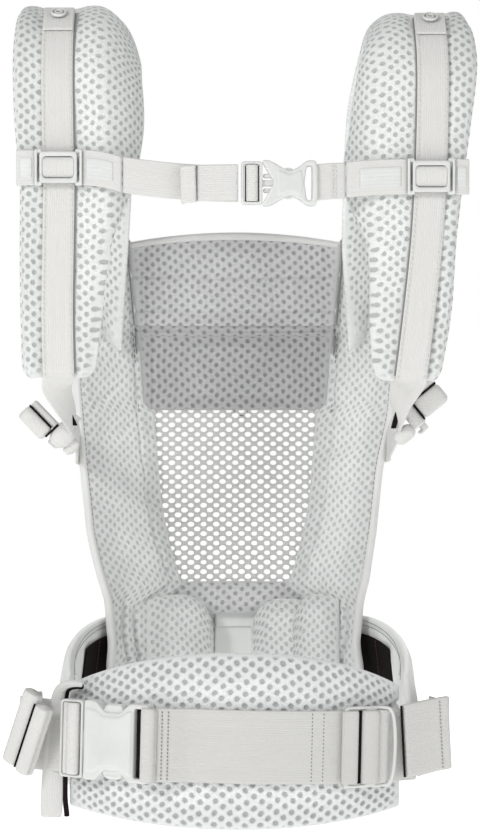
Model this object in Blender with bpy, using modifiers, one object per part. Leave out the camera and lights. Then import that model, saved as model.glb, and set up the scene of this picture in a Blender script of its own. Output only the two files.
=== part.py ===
"""Soft baby carrier, standing as it is worn, in metres with +Z up.

The wearer's front is +Y and the wearer's back is -Y. The origin is the middle of the waist loop,
level with the lowest edge of the lumbar pad. Left and right are the sides at -X and +X.
"""

from math import cos, radians, sin, sqrt

import bmesh
import bpy
from mathutils import Matrix, Vector

# ---------------------------------------------------------------- driving dimensions

GAP = 0.0004                # clearance between pieces that touch
WEB_WIDE = 0.049            # waist webbing
WEB_CHEST = 0.0240          # chest webbing
WEB_STRAP = 0.0210          # shoulder webbing
WEB_THICK = 0.0018

# near half of the waist: arcs about one upright axis
NEAR_AXIS_Y = 0.075
PAD_INNER_R = 0.1565
PAD_OUTER_R = 0.1700
WEB_R = 0.1755
PAD_HALF_ANGLE = radians(41.5)
PAD_TOP, PAD_TOP_DROP = 0.1190, 0.025
PAD_BOTTOM_RISE = 0.011
WAIST_Z = 0.0575
WAIST_TILT = 0.023          # the near webbing runs down to the right by this slope

# far half of the waist: an ellipse that flares out downwards
BELT_CENTRE_Y = 0.0055
BELT_HALF_X = 0.1130
BELT_HALF_Y = 0.1120
BELT_FLARE = 0.13
BELT_FLARE_Z = 0.110
BELT_THICK = 0.009
BELT_TOP, BELT_BOTTOM = 0.1330, 0.0140

# baby panel
PANEL_X = -0.0035
PANEL_ROUND = [(0.125, 0.104), (0.155, 0.124), (0.220, 0.160)]   # (z, plan radius)
PANEL_THICK = 0.008
WINDOW_BOTTOM, WINDOW_TOP = 0.1545, 0.2805
FOLD_Z = 0.3390
PANEL_TOP, PANEL_TOP_CROWN = 0.3985, 0.0070
HEAD_AXIS_Y = 0.1200

# shoulder straps
STRAP_THICK = 0.012
STRAP_PUFF = 0.0050
FLANK_TURN = radians(50)
SLIDER_Z = {"left": 0.4405, "right": 0.4345}
BUCKLE_Z = 0.4300
CHEST_Y = -0.1065

# (y, z, webbing centre x, outer half width, inner half width, flank), from the padded end on the
# wearer's back, over the shoulder, to the seam with the baby panel
STRAP_STATIONS = {
    "left": [
        (-0.0880, 0.3020, -0.1205, 0.0235, 0.0195, 0.000),
        (-0.0945, 0.3450, -0.1210, 0.0240, 0.0255, 0.000),
        (-0.0965, 0.3900, -0.1203, 0.0250, 0.0300, 0.002),
        (-0.0970, 0.4300, -0.1198, 0.0255, 0.0325, 0.022),
        (-0.0968, 0.4700, -0.1207, 0.0280, 0.0315, 0.036),
        (-0.0920, 0.5100, -0.1213, 0.0290, 0.0310, 0.036),
        (-0.0760, 0.5365, -0.1213, 0.0285, 0.0310, 0.034),
        (-0.0430, 0.5510, -0.1213, 0.0275, 0.0300, 0.028),
        (-0.0020, 0.5450, -0.1200, 0.0260, 0.0290, 0.022),
        (0.0350, 0.5100, -0.1170, 0.0260, 0.0240, 0.028),
        (0.0620, 0.4550, -0.1140, 0.0260, 0.0180, 0.028),
        (0.0780, 0.4000, -0.1120, 0.0240, 0.0150, 0.024),
        (0.0860, 0.3460, -0.1090, 0.0120, 0.0120, 0.016),
    ],
    "right": [
        (-0.0880, 0.3000, 0.1134, 0.0190, 0.0203, 0.000),
        (-0.0945, 0.3450, 0.1187, 0.0209, 0.0283, 0.000),
        (-0.0965, 0.3900, 0.1234, 0.0192, 0.0333, 0.006),
        (-0.0970, 0.4300, 0.1260, 0.0210, 0.0362, 0.030),
        (-0.0968, 0.4700, 0.1273, 0.0250, 0.0372, 0.024),
        (-0.0920, 0.5080, 0.1279, 0.0290, 0.0357, 0.019),
        (-0.0760, 0.5335, 0.1272, 0.0280, 0.0316, 0.017),
        (-0.0430, 0.5465, 0.1275, 0.0235, 0.0300, 0.015),
        (-0.0020, 0.5410, 0.1260, 0.0240, 0.0290, 0.018),
        (0.0350, 0.5070, 0.1190, 0.0250, 0.0250, 0.026),
        (0.0620, 0.4550, 0.1130, 0.0250, 0.0200, 0.028),
        (0.0780, 0.4000, 0.1090, 0.0230, 0.0170, 0.027),
        (0.0860, 0.3460, 0.1040, 0.0100, 0.0140, 0.016),
    ],
}
STRAP_ROWS = 40

# (z, half width) of the panel's outlines, measured from its centre line
SEAM_LINE = [(0.270, 0.0680), (0.325, 0.0722), (0.410, 0.0795)]
WINDOW_LINE = [(0.154, 0.0350), (0.160, 0.0420), (0.182, 0.0488), (0.200, 0.0528),
               (0.219, 0.0560), (0.2665, 0.0598), (0.282, 0.0585)]
BOLSTER_INNER = [(0.088, 0.0620), (0.140, 0.0590), (0.154, 0.0400), (0.165, 0.0460),
                 (0.182, 0.0510), (0.219, 0.0585), (0.260, 0.0640), (0.295, 0.0720),
                 (0.344, 0.0760)]
BOLSTER_OUTER = [(0.088, 0.0890), (0.143, 0.0950), (0.160, 0.0995), (0.195, 0.1050),
                 (0.2465, 0.1105), (0.300, 0.1145), (0.344, 0.1130)]
PANEL_DEPTH = [(0.088, 0.0990), (0.150, 0.1060), (0.250, 0.1130), (0.340, 0.1080), (0.410, 0.0980)]

# ---------------------------------------------------------------- scene and materials

for old in list(bpy.data.objects):
    bpy.data.objects.remove(old, do_unlink=True)

PARTS = bpy.data.collections.new("soft_baby_carrier")
CUTTERS = bpy.data.collections.new("cutters")
bpy.context.scene.collection.children.link(PARTS)
bpy.context.scene.collection.children.link(CUTTERS)

FINISHES = {
    "air_mesh": ((0.76, 0.77, 0.76), 0.85),
    "inner_mesh": ((0.55, 0.55, 0.55), 0.88),
    "webbing": ((0.70, 0.70, 0.67), 0.70),
    "plastic": ((0.80, 0.81, 0.79), 0.38),
    "satin": ((0.72, 0.72, 0.71), 0.42),
    "lining": ((0.010, 0.007, 0.007), 0.90),
    "elastic": ((0.66, 0.68, 0.67), 0.45),
}


def finish(name, slot):
    """One Principled material for the named sub-part."""
    colour, roughness = FINISHES[slot]
    material = bpy.data.materials.new(name)
    material.use_nodes = True
    shader = material.node_tree.nodes["Principled BSDF"]
    shader.inputs["Base Color"].default_value = (*colour, 1.0)
    shader.inputs["Roughness"].default_value = roughness
    shader.inputs["Metallic"].default_value = 0.0
    return material


# ---------------------------------------------------------------- general helpers


def blend(rows, key):
    """Straight-line value of a two-column list at key, level past its ends."""
    if key <= rows[0][0]:
        return rows[0][1]
    for low, high in zip(rows, rows[1:]):
        if key <= high[0]:
            share = (key - low[0]) / (high[0] - low[0])
            return low[1] + (high[1] - low[1]) * share
    return rows[-1][1]


def along_stations(stations, share):
    """Catmull-Rom value of a list of equal-length rows at share 0 to 1."""
    last = len(stations) - 1
    place = min(max(share, 0.0), 1.0) * last
    index = min(int(place), last - 1)
    t = place - index
    rows = [stations[min(max(index + step, 0), last)] for step in (-1, 0, 1, 2)]
    values = []
    for a, b, c, d in zip(*rows):
        values.append(0.5 * (2 * b + (c - a) * t + (2 * a - 5 * b + 4 * c - d) * t * t
                             + (3 * b - a - 3 * c + d) * t ** 3))
    return values


def put(name, mesh, slot, matrix=None):
    """Link a mesh to the parts collection as a named sub-part."""
    item = bpy.data.objects.new(name, mesh)
    mesh.materials.append(finish(name, slot))
    if matrix is not None:
        item.matrix_world = matrix
    PARTS.objects.link(item)
    return item


def smooth_shading(item, angle=40):
    item.data.shade_smooth()
    item.data.set_sharp_from_angle(angle=radians(angle))


def surface(name, slot, place, across, along, thick, side=0.0, crown=None, smooth=True):
    """A cloth sheet: place(u, v) with u and v from -1 to 1, thickened, fuller where crown says."""
    grid = bmesh.new()
    bmesh.ops.create_grid(grid, x_segments=across, y_segments=along, size=1.0)
    shares = [(vert.co.x, vert.co.y) for vert in grid.verts]
    for vert, (u, v) in zip(grid.verts, shares):
        vert.co = place(u, v)
    mesh = bpy.data.meshes.new(name)
    grid.to_mesh(mesh)
    grid.free()
    item = put(name, mesh, slot)
    shell = item.modifiers.new("thickness", "SOLIDIFY")
    shell.thickness = thick
    shell.offset = side
    if crown is not None:
        group = item.vertex_groups.new(name="crown")
        for index, (u, v) in enumerate(shares):
            group.add([index], crown(u, v), "REPLACE")
        shell.vertex_group = "crown"
        shell.thickness_vertex_group = 0.0
    if smooth:
        smooth_shading(item)
    return item


def puffed(edge):
    """A pad's thickness: full in the middle and edge of that at the rim."""
    def crown(u, v):
        bulge = (1 - abs(u) ** 3) * (1 - abs(v) ** 5)
        return edge + (1 - edge) * sqrt(max(bulge, 0.0))
    return crown


def box_mesh(name, low, high, bevel=0.0):
    """A box between two corners, with its edges rounded by bevel."""
    shape = bmesh.new()
    bmesh.ops.create_cube(shape, size=1.0)
    for vert in shape.verts:
        for axis in range(3):
            middle = (low[axis] + high[axis]) / 2
            vert.co[axis] = middle + vert.co[axis] * (high[axis] - low[axis])
    if bevel:
        bmesh.ops.bevel(shape, geom=shape.edges[:], offset=bevel, segments=2, profile=0.5,
                        affect="EDGES", clamp_overlap=True)
    mesh = bpy.data.meshes.new(name)
    shape.to_mesh(mesh)
    shape.free()
    return mesh


def cutter(name, mesh, matrix):
    item = bpy.data.objects.new(name, mesh)
    item.matrix_world = matrix
    item.hide_render = True
    item.display_type = "WIRE"
    CUTTERS.objects.link(item)
    return item


def carve(item, operation, tool):
    change = item.modifiers.new(tool.name, "BOOLEAN")
    change.operation = operation
    change.solver = "EXACT"
    change.object = tool


def block(name, slot, matrix, low, high, bevel, cuts=(), adds=()):
    """A moulded block in its own frame, with boxes cut from it and boxes joined to it."""
    item = put(name, box_mesh(name, low, high, bevel), slot, matrix)
    for number, (a, b) in enumerate(adds):
        tool = cutter(f"{name}_add_{number}", box_mesh(f"{name}_add_{number}", a, b), matrix)
        carve(item, "UNION", tool)
    for number, (a, b) in enumerate(cuts):
        tool = cutter(f"{name}_cut_{number}", box_mesh(f"{name}_cut_{number}", a, b), matrix)
        carve(item, "DIFFERENCE", tool)
    return item


def ribbon(name, slot, points, width_way, width, rows, thick=WEB_THICK):
    """Webbing along a smooth path, with its width along width_way(share)."""
    def place(u, v):
        share = (v + 1) / 2
        centre = Vector(along_stations(points, share))
        return centre + Vector(width_way(share)).normalized() * (u * width / 2)
    return surface(name, slot, place, 2, rows, thick, smooth=False)


# ---------------------------------------------------------------- baby panel


def panel_point(x, z, lift=0.0):
    """A point on the panel's middle surface, lifted towards the wearer."""
    depth = blend(PANEL_DEPTH, z) + PANEL_THICK / 2
    radius = blend(PANEL_ROUND, z)
    sink = radius - sqrt(radius ** 2 - x ** 2)
    return Vector((PANEL_X + x, depth - sink - lift, z))


def panel_piece(name, slot, low, high, line, across, along, thick, edge, shrink=0.0, crown_top=0.0):
    """A panel sheet between two heights whose half width follows line(z)."""
    def place(u, v):
        z = low + (high - low) * (v + 1) / 2
        half = blend(line, z) - shrink
        if crown_top:
            z += crown_top * (1 - u * u) * (v + 1) / 2
        return panel_point(-u * half, z)
    return surface(name, slot, place, across, along, thick, crown=puffed(edge))


def build_panel():
    seam = SEAM_LINE
    upper = panel_piece("panel_upper", "inner_mesh", WINDOW_TOP + GAP, FOLD_Z - 0.0008, seam,
                        12, 5, PANEL_THICK, 0.7, 0.002)
    head = panel_piece("head_support", "inner_mesh", FOLD_Z + 0.0008, PANEL_TOP, seam,
                       12, 6, PANEL_THICK, 0.7, 0.002, PANEL_TOP_CROWN)
    panel_piece("mesh_window", "air_mesh", WINDOW_BOTTOM + GAP, WINDOW_TOP - GAP, WINDOW_LINE,
                10, 9, 0.003, 1.0, 0.0006)
    set_origin(head, (PANEL_X, HEAD_AXIS_Y, FOLD_Z))

    def binding(u, v):
        z = PANEL_TOP + PANEL_TOP_CROWN * (1 - u * u) + GAP * 2 + 0.0042 * (v + 1) / 2
        return panel_point(-u * (blend(seam, z) - 0.002), z)
    surface("head_binding", "satin", binding, 14, 2, PANEL_THICK * 0.8)

    band_line = [(0.122, 0.0400), (0.133, 0.0420), (0.148, 0.0380), (0.1542, 0.0340)]

    def band(u, v):
        z = 0.1320 + (WINDOW_BOTTOM - GAP - 0.1320) * (v + 1) / 2
        return panel_point(-u * (blend(band_line, z) - 0.004), z)
    surface("seat_band", "inner_mesh", band, 10, 3, PANEL_THICK, crown=puffed(0.7))

    for side, sign in (("left", -1), ("right", 1)):
        def bolster(u, v, sign=sign):
            z = 0.0880 + (0.3440 - 0.0880) * (v + 1) / 2
            inner = blend(BOLSTER_INNER, z) + 0.0012
            outer = blend(BOLSTER_OUTER, z)
            share = (u + 1) / 2
            if sign > 0:
                share = 1 - share
            return panel_point(sign * (inner + (outer - inner) * share), z)
        surface(f"bolster_{side}", "air_mesh", bolster, 6, 22, 0.012, crown=puffed(0.45))

        def lobe(u, v, sign=sign):
            z = 0.0880 + 0.0560 * (v + 1) / 2
            rounding = sqrt(max(0.0, 1 - ((v + 1) / 2) ** 4))
            middle = 0.0385 + 0.0010 * v
            half = 0.0205 * (0.55 + 0.45 * rounding)
            x = sign * middle - u * half
            return panel_point(x, z, lift=0.0120)
        surface(f"seat_pad_{side}", "air_mesh", lobe, 6, 6, 0.010, crown=puffed(0.4))


def set_origin(item, point):
    """Move an object's origin without moving its mesh."""
    shift = Matrix.Translation(-Vector(point))
    item.data.transform(shift)
    item.location = point


# ---------------------------------------------------------------- waist belt


def belt_point(angle, z, out):
    """A point on the belt, by angle from +Y and distance out from its inner face."""
    half_x = BELT_HALF_X + BELT_FLARE * (BELT_FLARE_Z - z) + out
    half_y = BELT_HALF_Y + out
    return Vector((PANEL_X / 2 + half_x * sin(angle), BELT_CENTRE_Y + half_y * cos(angle), z))


def belt_top(angle):
    """Height of the belt's top edge: level behind the panel, falling round the sides."""
    turn = max(0.0, abs(angle) - radians(52)) / radians(55)
    return BELT_TOP - 0.048 * min(turn, 1.0) ** 1.6


def build_belt():
    split = radians(47)

    def far(u, v):
        angle = u * split
        low = BELT_BOTTOM
        z = low + (belt_top(angle) - low) * (v + 1) / 2
        return belt_point(angle, z, BELT_THICK / 2)
    surface("waist_belt", "air_mesh", far, 14, 5, BELT_THICK, crown=puffed(0.6))

    for side, sign in (("left", -1), ("right", 1)):
        start, end = split + radians(0.5), radians(104)
        bottom_rise = 0.0 if side == "left" else 0.026

        def wing(u, v, sign=sign, rise=bottom_rise):
            share = (u * sign + 1) / 2
            angle = sign * (start + (end - start) * share)
            low = BELT_BOTTOM + rise * share ** 2
            z = low + (belt_top(angle) - low) * (v + 1) / 2
            return belt_point(angle, z, BELT_THICK / 2)
        surface(f"waist_wing_{side}", "satin", wing, 10, 5, BELT_THICK, crown=puffed(0.6))

        def lining(u, v, sign=sign, rise=bottom_rise):
            share = (u * sign + 1) / 2
            angle = sign * (start + radians(3) + (end - start - radians(8)) * share)
            low = BELT_BOTTOM + rise * share ** 2 + 0.010
            top = belt_top(angle) - 0.0135
            z = low + (top - low) * (v + 1) / 2
            return belt_point(angle, z, -0.0010)
        surface(f"wing_lining_{side}", "lining", lining, 8, 3, 0.0012, smooth=False)

    def patch(u, v):
        z = 0.080 + 0.0505 * (v + 1) / 2
        return belt_point(-0.001 + u * 0.150, z, -0.0012)
    surface("belt_centre", "satin", patch, 4, 3, 0.0014, smooth=False)


def near_point(angle, radius, z):
    return Vector((radius * sin(angle), NEAR_AXIS_Y - radius * cos(angle), z))


def build_lumbar():
    middle = (PAD_INNER_R + PAD_OUTER_R) / 2

    def pad(u, v):
        top = PAD_TOP - PAD_TOP_DROP * abs(u) ** 2.2
        low = 0.0006 + PAD_BOTTOM_RISE * u * u
        return near_point(u * PAD_HALF_ANGLE - 0.008, middle, low + (top - low) * (v + 1) / 2)
    item = surface("lumbar_pad", "air_mesh", pad, 20, 8, PAD_OUTER_R - PAD_INNER_R,
                   crown=puffed(0.45))
    set_origin(item, (0.0, NEAR_AXIS_Y, 0.0))


# ---------------------------------------------------------------- waist webbing and hardware


def waist_frame(angle, radius=WEB_R):
    """A frame on the near webbing: X along it to the right, Y inwards, Z up."""
    tilt = Matrix.Translation((0, 0, WAIST_Z)) @ Matrix.Rotation(WAIST_TILT, 4, "Y")
    spot = near_point(angle, radius, 0.0)
    return tilt @ Matrix.Translation(spot) @ Matrix.Rotation(angle, 4, "Z")


BUCKLE_ANGLE = radians(-30)
BUCKLE_R = 0.1785
ADJUSTER_ANGLE = radians(29)


def waist_strip(angle, radius, height):
    tilt = Matrix.Translation((0, 0, WAIST_Z)) @ Matrix.Rotation(WAIST_TILT, 4, "Y")
    return tilt @ near_point(angle, radius, height)


def build_waist_webbing():
    start, end = radians(-21.0), radians(43)

    def centre(u, v):
        share = (u + 1) / 2
        angle = start + (end - start) * share
        fall = min(1.0, max(0.0, (share - 0.055) / 0.12))
        rise = 0.0085 * (1 - fall * fall * (3 - 2 * fall))
        return waist_strip(angle, WEB_R + rise, v * WEB_WIDE / 2)
    surface("waist_webbing", "webbing", centre, 30, 2, WEB_THICK, smooth=False)

    def strip(name, points, rows):
        ribbon(name, "webbing", points, lambda share: (0, 0, 1), WEB_WIDE, rows)

    # right: from the end of the near arc round to the wing
    right = [waist_strip(radians(43.3), WEB_R, 0), waist_strip(radians(49), WEB_R + 0.001, 0),
             waist_strip(radians(54), WEB_R + 0.001, 0), Vector((0.1385, -0.0120, 0.0560)),
             Vector((0.1370, 0.0080, 0.0565)), Vector((0.1335, 0.0280, 0.0570))]
    strip("waist_webbing_right", right, 14)
    # folded end, standing off to the right in front of it
    flap = [waist_strip(radians(37.5), WEB_R + 0.0060, 0), waist_strip(radians(41), WEB_R + 0.0080, 0),
            waist_strip(radians(44.5), WEB_R + 0.0115, 0), waist_strip(radians(47.5), WEB_R + 0.0170, 0)]
    ribbon("waist_webbing_end", "webbing", flap, lambda share: (0.03, 0, 1), WEB_WIDE * 1.02, 8, 0.0045)

    # left: out of the ladder frame, straight on along it, then back to the wing
    frame = waist_frame(BUCKLE_ANGLE, BUCKLE_R)
    left = [frame @ Vector((-0.0300, 0.0046, 0)), frame @ Vector((-0.0440, 0.0046, 0)),
            frame @ Vector((-0.0600, 0.0046, 0)), frame @ Vector((-0.0720, 0.0060, 0)),
            Vector((-0.1500, -0.0180, WAIST_Z + 0.002)), Vector((-0.1460, 0.0050, WAIST_Z + 0.002)),
            Vector((-0.1395, 0.0260, WAIST_Z + 0.001))]
    strip("waist_webbing_left", left, 18)


def build_waist_buckle():
    frame = waist_frame(BUCKLE_ANGLE, BUCKLE_R)
    half = 0.0290
    # socket: open at its left mouth, with a window over each release tab and a webbing slot
    tab = ((-0.0080, -0.0070, 0.0185), (0.0130, 0.0070, 0.0300))
    lower_tab = ((-0.0080, -0.0070, -0.0300), (0.0130, 0.0070, -0.0185))
    block("waist_buckle_female", "plastic", frame, (-0.0155, -0.0062, -half), (0.0375, 0.0062, half),
          0.0022,
          cuts=[((-0.0200, -0.0038, -0.0262), (0.0210, 0.0038, 0.0262)),
                ((0.0255, -0.0080, -0.0258), (0.0320, 0.0080, 0.0258)),
                ((0.0255, -0.0100, -0.0258), (0.0500, 0.0008, 0.0258)),
                tab, lower_tab])
    # plug: ladder frame with front bars, a back bar and a guide tongue
    block("waist_buckle_male", "plastic", frame, (-0.0385, -0.0058, -0.0280), (-0.0165, 0.0058, 0.0280),
          0.0018,
          cuts=[((-0.0500, 0.0026, -0.0252), (-0.0100, 0.0100, 0.0252)),
                ((-0.0360, -0.0100, -0.0252), (-0.0338, 0.0100, 0.0252)),
                ((-0.0222, -0.0100, -0.0252), (-0.0200, 0.0100, 0.0252))],
          adds=[((-0.0180, -0.0030, -0.0060), (0.0060, 0.0022, 0.0060))])
    pivot = 0.0115
    for side, sign in (("upper", 1), ("lower", -1)):
        low = (-0.0150, -0.0030, sign * 0.0160)
        high = (0.0125, 0.0030, sign * 0.0080)
        tab_low = (-0.0040, -0.0030, sign * 0.0240)
        tab_high = (0.0110, 0.0030, sign * 0.0150)
        item = block(f"waist_prong_{side}", "plastic", frame, ordered(low, high)[0],
                     ordered(low, high)[1], 0.0012, adds=[ordered(tab_low, tab_high)])
        move_pivot(item, frame, (-0.0150, 0.0, sign * pivot))
    # rolled loose end beyond the ladder frame
    tail = waist_frame(radians(-40.0), WEB_R + 0.0170)
    lean = tail @ Matrix.Translation((-0.0270, -0.0030, 0.0)) @ Matrix.Rotation(radians(22), 4, "Y")
    block("waist_tail_roll", "webbing", lean, (-0.0140, -0.0050, -0.0270), (0.0120, 0.0050, 0.0270), 0.0040)


def ordered(a, b):
    low = tuple(min(p, q) for p, q in zip(a, b))
    high = tuple(max(p, q) for p, q in zip(a, b))
    return low, high


def move_pivot(item, frame, local):
    """Put a block's origin on its pivot, keeping its shape where it is."""
    item.data.transform(Matrix.Translation(-Vector(local)))
    item.matrix_world = frame @ Matrix.Translation(local)


def build_adjuster():
    frame = waist_frame(ADJUSTER_ANGLE)
    half_long, half_high = 0.0195, 0.0290
    inner_high = WEB_WIDE / 2 + 0.0012
    block("waist_adjuster", "plastic", frame, (-half_long, -0.0050, -half_high),
          (half_long, 0.0044, half_high), 0.0020,
          cuts=[((-0.0300, -0.0024, -inner_high), (0.0300, 0.0026, inner_high)),
                ((-0.0300, -0.0100, -inner_high), (-0.0090, 0.0, inner_high)),
                ((0.0050, -0.0100, -inner_high), (0.0130, 0.0, inner_high)),
                ((-0.0120, 0.0, -inner_high), (0.0300, 0.0100, inner_high))])


# ---------------------------------------------------------------- shoulder straps


def strap_station(side, share):
    stations = STRAP_STATIONS[side]
    y, z, x, outer, inner, flank = along_stations(stations, share)
    step = 0.004
    ahead = along_stations(stations, share + step)
    behind = along_stations(stations, share - step)
    run = Vector((0, ahead[0] - behind[0], ahead[1] - behind[1])).normalized()
    normal = Vector((0, -run.z, run.y))
    return Vector((x, y, z)), normal, outer, inner, max(flank, 0.0)


def strap_row(side, row, share):
    """A point on the strap's outer face. Rows 0 to 8 run from the outer edge, over the two puffed
    sides with the webbing groove between them, to the crease and down the flank to the neck."""
    inward = Vector((1 if side == "left" else -1, 0, 0))
    centre, normal, outer, inner, flank = strap_station(side, share)
    groove = min(WEB_STRAP / 2 + 0.0012, 0.55 * min(outer, inner))
    shoulder = groove + min(0.0030, 0.2 * min(outer, inner))
    reach = (-outer, -(0.8 * outer + 0.2 * shoulder), -shoulder, -groove,
             groove, shoulder, (shoulder + inner) / 2, inner, inner)[row]
    puff = STRAP_PUFF * (0.5, 1.0, 0.95, 0.0, 0.0, 0.95, 1.0, 0.7, 0.0)[row]
    point = centre + inward * reach + normal * puff
    if row == 8:
        point += inward * (flank * cos(FLANK_TURN)) - normal * (flank * sin(FLANK_TURN) + 0.0020)
    return point


def build_straps():
    last_row = 8
    for side, sign in (("left", -1), ("right", 1)):
        def strap(u, v, side=side, sign=sign):
            return strap_row(side, round((u * -sign + 1) / 2 * last_row), (v + 1) / 2)

        def edge(u, v, sign=sign):
            thin = 0.6 if abs(u) > 0.99 else 1.0
            return thin * (0.6 if abs(v) > 0.99 else 1.0)
        surface(f"shoulder_strap_{side}", "air_mesh", strap, last_row, STRAP_ROWS,
                STRAP_THICK, side=-1.0, crown=edge)

        def webbing(u, v, side=side, sign=sign):
            share = 0.004 + 0.535 * (v + 1) / 2
            centre, normal, *_ = strap_station(side, share)
            return centre + normal * 0.0052 + Vector((u * WEB_STRAP / 2, 0, 0))
        surface(f"strap_webbing_{side}", "webbing", webbing, 2, 30, WEB_THICK, smooth=False)

        def patch(u, v, side=side):
            share = 0.472 + 0.062 * (v + 1) / 2
            centre, normal, *_ = strap_station(side, share)
            return centre + normal * 0.0077 + Vector((u * (WEB_STRAP / 2 - 0.0004), 0, 0))
        surface(f"strap_top_patch_{side}", "webbing", patch, 2, 4, 0.0016, smooth=False)

        centre, normal, *_ = strap_station(side, 0.507)
        disc = bmesh.new()
        bmesh.ops.create_cone(disc, cap_ends=True, segments=24, radius1=0.0048, radius2=0.0044,
                              depth=0.0024)
        mesh = bpy.data.meshes.new(f"strap_snap_{side}")
        disc.to_mesh(mesh)
        disc.free()
        turn = normal.to_track_quat("Z", "Y").to_matrix().to_4x4()
        snap = put(mesh.name, mesh, "plastic",
                   Matrix.Translation(centre + normal * 0.0106) @ turn)
        smooth_shading(snap)


# ---------------------------------------------------------------- chest strap


CHEST_SLOT = {"left": -0.1198, "right": 0.1262}


def chest_frame(x, z):
    return Matrix.Translation((x, CHEST_Y, z))


def build_chest():
    for side, sign in (("left", -1), ("right", 1)):
        spot = chest_frame(CHEST_SLOT[side], SLIDER_Z[side])
        wide = WEB_STRAP / 2 + 0.0022
        block(f"chest_slider_{side}", "plastic", spot, (-0.0150, -0.0030, -0.0115),
              (0.0150, 0.0038, 0.0115), 0.0010,
              cuts=[((-0.0112, -0.0100, -0.0072), (0.0112, 0.0100, 0.0072)),
                    ((-wide, 0.0002, -0.0200), (wide, 0.0100, 0.0200))])
        drop = SLIDER_Z[side] - BUCKLE_Z

        def band(u, v, side=side, sign=sign, drop=drop):
            outer = CHEST_SLOT[side] - sign * 0.0156
            inner = sign * (0.0780 if side == "left" else 0.0700)
            start, end = (outer, inner) if sign < 0 else (inner, outer)
            x = start + (end - start) * (u + 1) / 2
            away = (abs(outer) - abs(x)) / (abs(outer) - abs(inner))
            z = SLIDER_Z[side] - drop * 0.45 * away ** 2
            return Vector((x, CHEST_Y + 0.0010, z + v * 0.0118))
        surface(f"chest_band_{side}", "elastic", band, 8, 2, 0.0022, smooth=False)

        def stub(u, v, side=side, sign=sign):
            inner = CHEST_SLOT[side] + sign * 0.0156
            outer = sign * (0.1480 if side == "left" else 0.1515)
            start, end = (outer, inner) if sign < 0 else (inner, outer)
            x = start + (end - start) * (u + 1) / 2
            bend = 0.0020 * max(0.0, (abs(x) - abs(inner)) / (abs(outer) - abs(inner))) ** 2
            return Vector((x, CHEST_Y + 0.0010 + bend, SLIDER_Z[side] + v * 0.0118))
        surface(f"chest_band_end_{side}", "elastic", stub, 4, 2, 0.0022, smooth=False)

    def strip(name, start, end, z_start, z_end, y_start, y_end, rows, width=WEB_CHEST, thick=WEB_THICK):
        def place(u, v):
            share = (u + 1) / 2
            x = start + (end - start) * share
            y = y_start + (y_end - y_start) * share
            z = z_start + (z_end - z_start) * (1 - (1 - share) ** 2) + v * width / 2
            return Vector((x, y, z))
        return surface(name, "webbing", place, rows, 2, thick, smooth=False)

    strip("chest_webbing_left", -0.0775, -0.0010, 0.4360, BUCKLE_Z, CHEST_Y + 0.0022, CHEST_Y + 0.0036, 8)
    strip("chest_tail", -0.0375, -0.0050, 0.4300, BUCKLE_Z - 0.0005, CHEST_Y - 0.0045, CHEST_Y - 0.0055, 4,
          WEB_CHEST, 0.0034)
    strip("chest_webbing_right", 0.0440, 0.0695, BUCKLE_Z, 0.4318, CHEST_Y - 0.0012, CHEST_Y + 0.0010, 4)

    frame = chest_frame(0.0, BUCKLE_Z)
    # socket on the right: mouth to the left, notched waist, webbing slot at its right end
    block("chest_buckle_female", "plastic", frame, (0.0160, -0.0052, -0.0150), (0.0510, 0.0052, 0.0150),
          0.0014,
          cuts=[((0.0120, -0.0030, -0.0120), (0.0400, 0.0030, 0.0120)),
                ((0.0430, -0.0100, -0.0132), (0.0462, 0.0100, 0.0132)),
                ((0.0430, -0.0100, -0.0132), (0.0600, 0.0010, 0.0132)),
                ((0.0255, -0.0100, 0.0095), (0.0365, 0.0100, 0.0200)),
                ((0.0255, -0.0100, -0.0200), (0.0365, 0.0100, -0.0095))])
    # plug on the left: ladder frame and guide tongue
    block("chest_buckle_male", "plastic", frame, (0.0010, -0.0050, -0.0145), (0.0148, 0.0062, 0.0145),
          0.0012,
          cuts=[((-0.0100, 0.0020, -0.0130), (0.0200, 0.0100, 0.0130)),
                ((0.0042, -0.0100, -0.0130), (0.0060, 0.0100, 0.0130))],
          adds=[((0.0140, -0.0022, -0.0022), (0.0260, 0.0019, 0.0022))])
    for side, sign in (("upper", 1), ("lower", -1)):
        arm = ordered((0.0152, -0.0022, sign * 0.0032), (0.0360, 0.0022, sign * 0.0062))
        tab = ordered((0.0270, -0.0022, sign * 0.0060), (0.0350, 0.0022, sign * 0.0105))
        item = block(f"chest_prong_{side}", "plastic", frame, arm[0], arm[1], 0.0007, adds=[tab])
        move_pivot(item, frame, (0.0155, 0.0, sign * 0.0047))


# ---------------------------------------------------------------- adjusters under the arms


PFA = {
    "left": {"start": (-0.1205, -0.0860, 0.3010), "eye": (-0.1210, -0.0060, 0.2660),
             "panel": (-0.1195, 0.0620, 0.2520)},
    "right": {"start": (0.1134, -0.0860, 0.2990), "eye": (0.1185, -0.0060, 0.2760),
              "panel": (0.1125, 0.0620, 0.2540)},
}


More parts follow.
